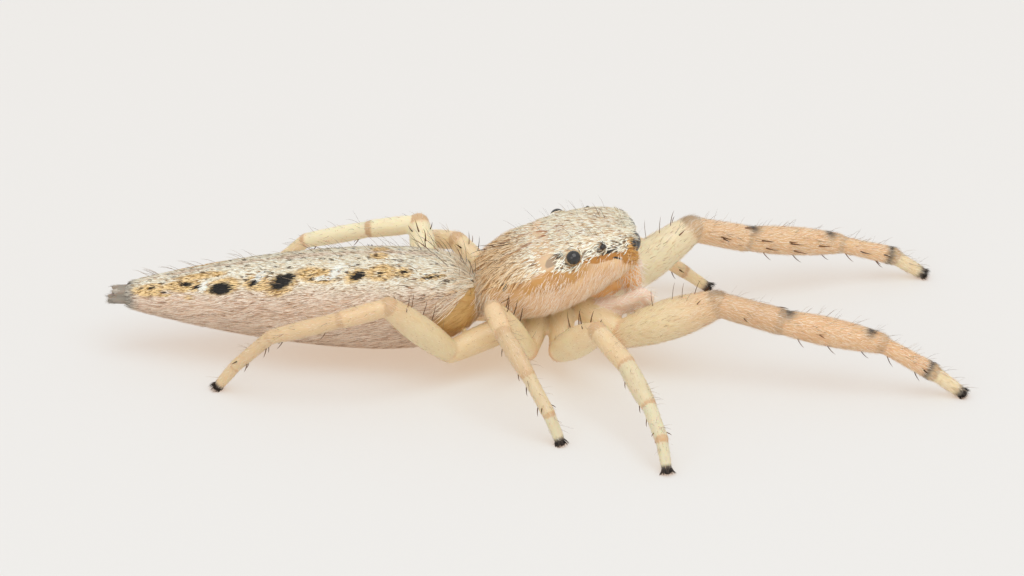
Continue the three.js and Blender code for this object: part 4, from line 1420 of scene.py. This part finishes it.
def feet():
    """A dark pad under each foot, and the tuft of hairs round it."""
    material = shaded_hair("tuft", DARK, 0.6)
    pads, points, normals, parts, ways = [], [], [], [], []
    for leg, joints in LEGS.items():
        way, side, up = limb_axes(joints[-2], joints[-1])
        level = unit(way * (1, 1, 0))
        centre = joints[-1] * (1, 1, 0) + 0.06 * level + (0, 0, PAD[2])
        pads.append(form(lambda ball, c=centre: c + ball * PAD, segments=12, rings=8))
        angle, lean = draw.uniform(0, 2 * np.pi, TUFT_HAIRS), draw.random(TUFT_HAIRS) ** 0.5
        round_ = np.cos(angle)[:, None] * side + np.sin(angle)[:, None] * up
        start = joints[-1] + (0.1 * lean - 0.07)[:, None] * way + TUFT_SPREAD * lean[:, None] * round_
        start[:, 2] = np.maximum(start[:, 2], 0.03)
        heading = unit(way + 0.5 * lean[:, None] * round_ + draw.normal(0, 0.12, (TUFT_HAIRS, 3)))
        points.append(start)
        normals.append(np.cross(np.cross(heading, (0, 0, 1.0)), heading))
        ways.append(heading)
        parts.append(np.full(TUFT_HAIRS, PARTS.index(f"tarsus_{leg}")))
    piece = joined(pads, "foot_pads")
    note(piece, "tone", np.zeros(len(piece.data.vertices)))
    kept(piece, material)
    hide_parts(*[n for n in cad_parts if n.startswith("claws_")])
    roots = np.concatenate(points), unit(np.concatenate(normals)), np.concatenate(parts)
    grow("foot_tufts", roots, np.concatenate(ways), (0.13, 0.2), (0.018, 0.028), material, "claws",
         "limb", lift=(0, 3), curl=0.0, sunk=0)


# ---- Camera, floor and light --------------------------------------------------------------

VIEW_TURN, VIEW_LIFT, VIEW_DISTANCE = math.radians(-4), math.radians(27), 0.3
VIEW_WIDTH = 22.756 * MM  # of the frame where the spider stands
VIEW_ASIDE, VIEW_HEIGHT = 0.756, 1.72  # what the camera looks at, from the stance's origin
# The floor throws back cool light and glows warm, so that its shadows are warm.
FLOOR_SIZE, FLOOR_COLOUR, FLOOR_GLOW, GLOW_STRENGTH = 3, (0.282, 0.416, 0.498), (1, 0.692, 0.49, 1), 0.52
SKY_COLOUR, SKY_STRENGTH = (1, 0.99, 0.975, 1), 0.76
# Lamps: place, size, power and colour.
LAMPS = {
    "softbox": ((0.03, -0.08, 0.22), 0.22, 0.265, (1, 0.985, 0.96)),
    "fill": ((-0.12, -0.16, 0.1), 0.12, 0.05, (1, 0.98, 0.95)),
}


def make_camera():
    camera = bpy.data.objects.new("camera", bpy.data.cameras.new("camera"))
    bpy.context.collection.objects.link(camera)
    right = Vector((math.cos(VIEW_TURN), math.sin(VIEW_TURN), 0))
    back = Vector((math.sin(VIEW_TURN) * math.cos(VIEW_LIFT),
                   -math.cos(VIEW_TURN) * math.cos(VIEW_LIFT), math.sin(VIEW_LIFT)))
    target = (ORIGIN + VIEW_ASIDE * right + Vector((0, 0, VIEW_HEIGHT))) * MM
    camera.location = target + VIEW_DISTANCE * back
    camera.rotation_mode = "QUATERNION"
    camera.rotation_quaternion = back.to_track_quat("Z", "Y")
    camera.data.lens = camera.data.sensor_width * VIEW_DISTANCE / VIEW_WIDTH
    camera.data.clip_start, camera.data.clip_end = 0.02, 5
    bpy.context.scene.camera = camera


def make_stage():
    bpy.ops.object.select_all(action="DESELECT")
    bpy.ops.mesh.primitive_plane_add(size=FLOOR_SIZE)
    floor = bpy.context.object
    floor.name = "floor"
    floor.data.materials.append(principled("floor", 0.9, FLOOR_COLOUR, Emission_Color=FLOOR_GLOW,
                                           Emission_Strength=GLOW_STRENGTH))
    world = bpy.data.worlds.new("studio")
    bpy.context.scene.world = world
    world.use_nodes = True
    background = world.node_tree.nodes["Background"]
    background.inputs["Color"].default_value = SKY_COLOUR
    background.inputs["Strength"].default_value = SKY_STRENGTH
    for name, (place, size, power, colour) in LAMPS.items():
        light = bpy.data.objects.new(name, bpy.data.lights.new(name, "AREA"))
        light.data.size, light.data.energy, light.data.color = size, power, colour
        light.location = place
        light.rotation_mode = "QUATERNION"
        light.rotation_quaternion = Vector(place).to_track_quat("Z", "Y")
        bpy.context.collection.objects.link(light)


def dress_skin():
    """The skin's materials by part, and its marks."""
    finishes = ((("head",), head_skin()), (("tail",), tail_skin()), (("chelicera", "mouth"), jaw_skin()),
                (("palp",), palp_skin()), (("spinneret",), spinneret_skin()), (("",), limb_skin()))
    for label, values in zip(("dark", "peach", "pale"), leg_marks(skin_points, skin_part)):
        note(skin, label, values)
    for _, material in finishes:
        skin.data.materials.append(material)
    numbers = [next(i for i, (names, _) in enumerate(finishes) if part.startswith(names)) for part in PARTS]
    firsts = np.zeros(len(skin.data.polygons), np.int32)
    skin.data.polygons.foreach_get("loop_start", firsts)
    loops = np.zeros(len(skin.data.loops), np.int32)
    skin.data.loops.foreach_get("vertex_index", loops)
    chosen = np.array(numbers)[skin_part[loops[firsts]]]
    skin.data.polygons.foreach_set("material_index", chosen.astype(np.int32))
    kept(skin, None)
    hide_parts(*[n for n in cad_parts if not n.startswith(("eye_", "claws_"))])


# ---- Putting it together --------------------------------------------------------------------

make_camera()
make_stage()
bpy.context.scene.view_settings.view_transform = "Standard"

for make in (head_scales, cheek_hairs, nape_hairs, margin_hairs, brow_hairs, face_hairs, back_scales,
             flank_hairs, waist_fringe, leg_hairs, small_hairs, leg_spines, leg_bristles, body_bristles,
             lenses, feet, dress_skin):
    make()
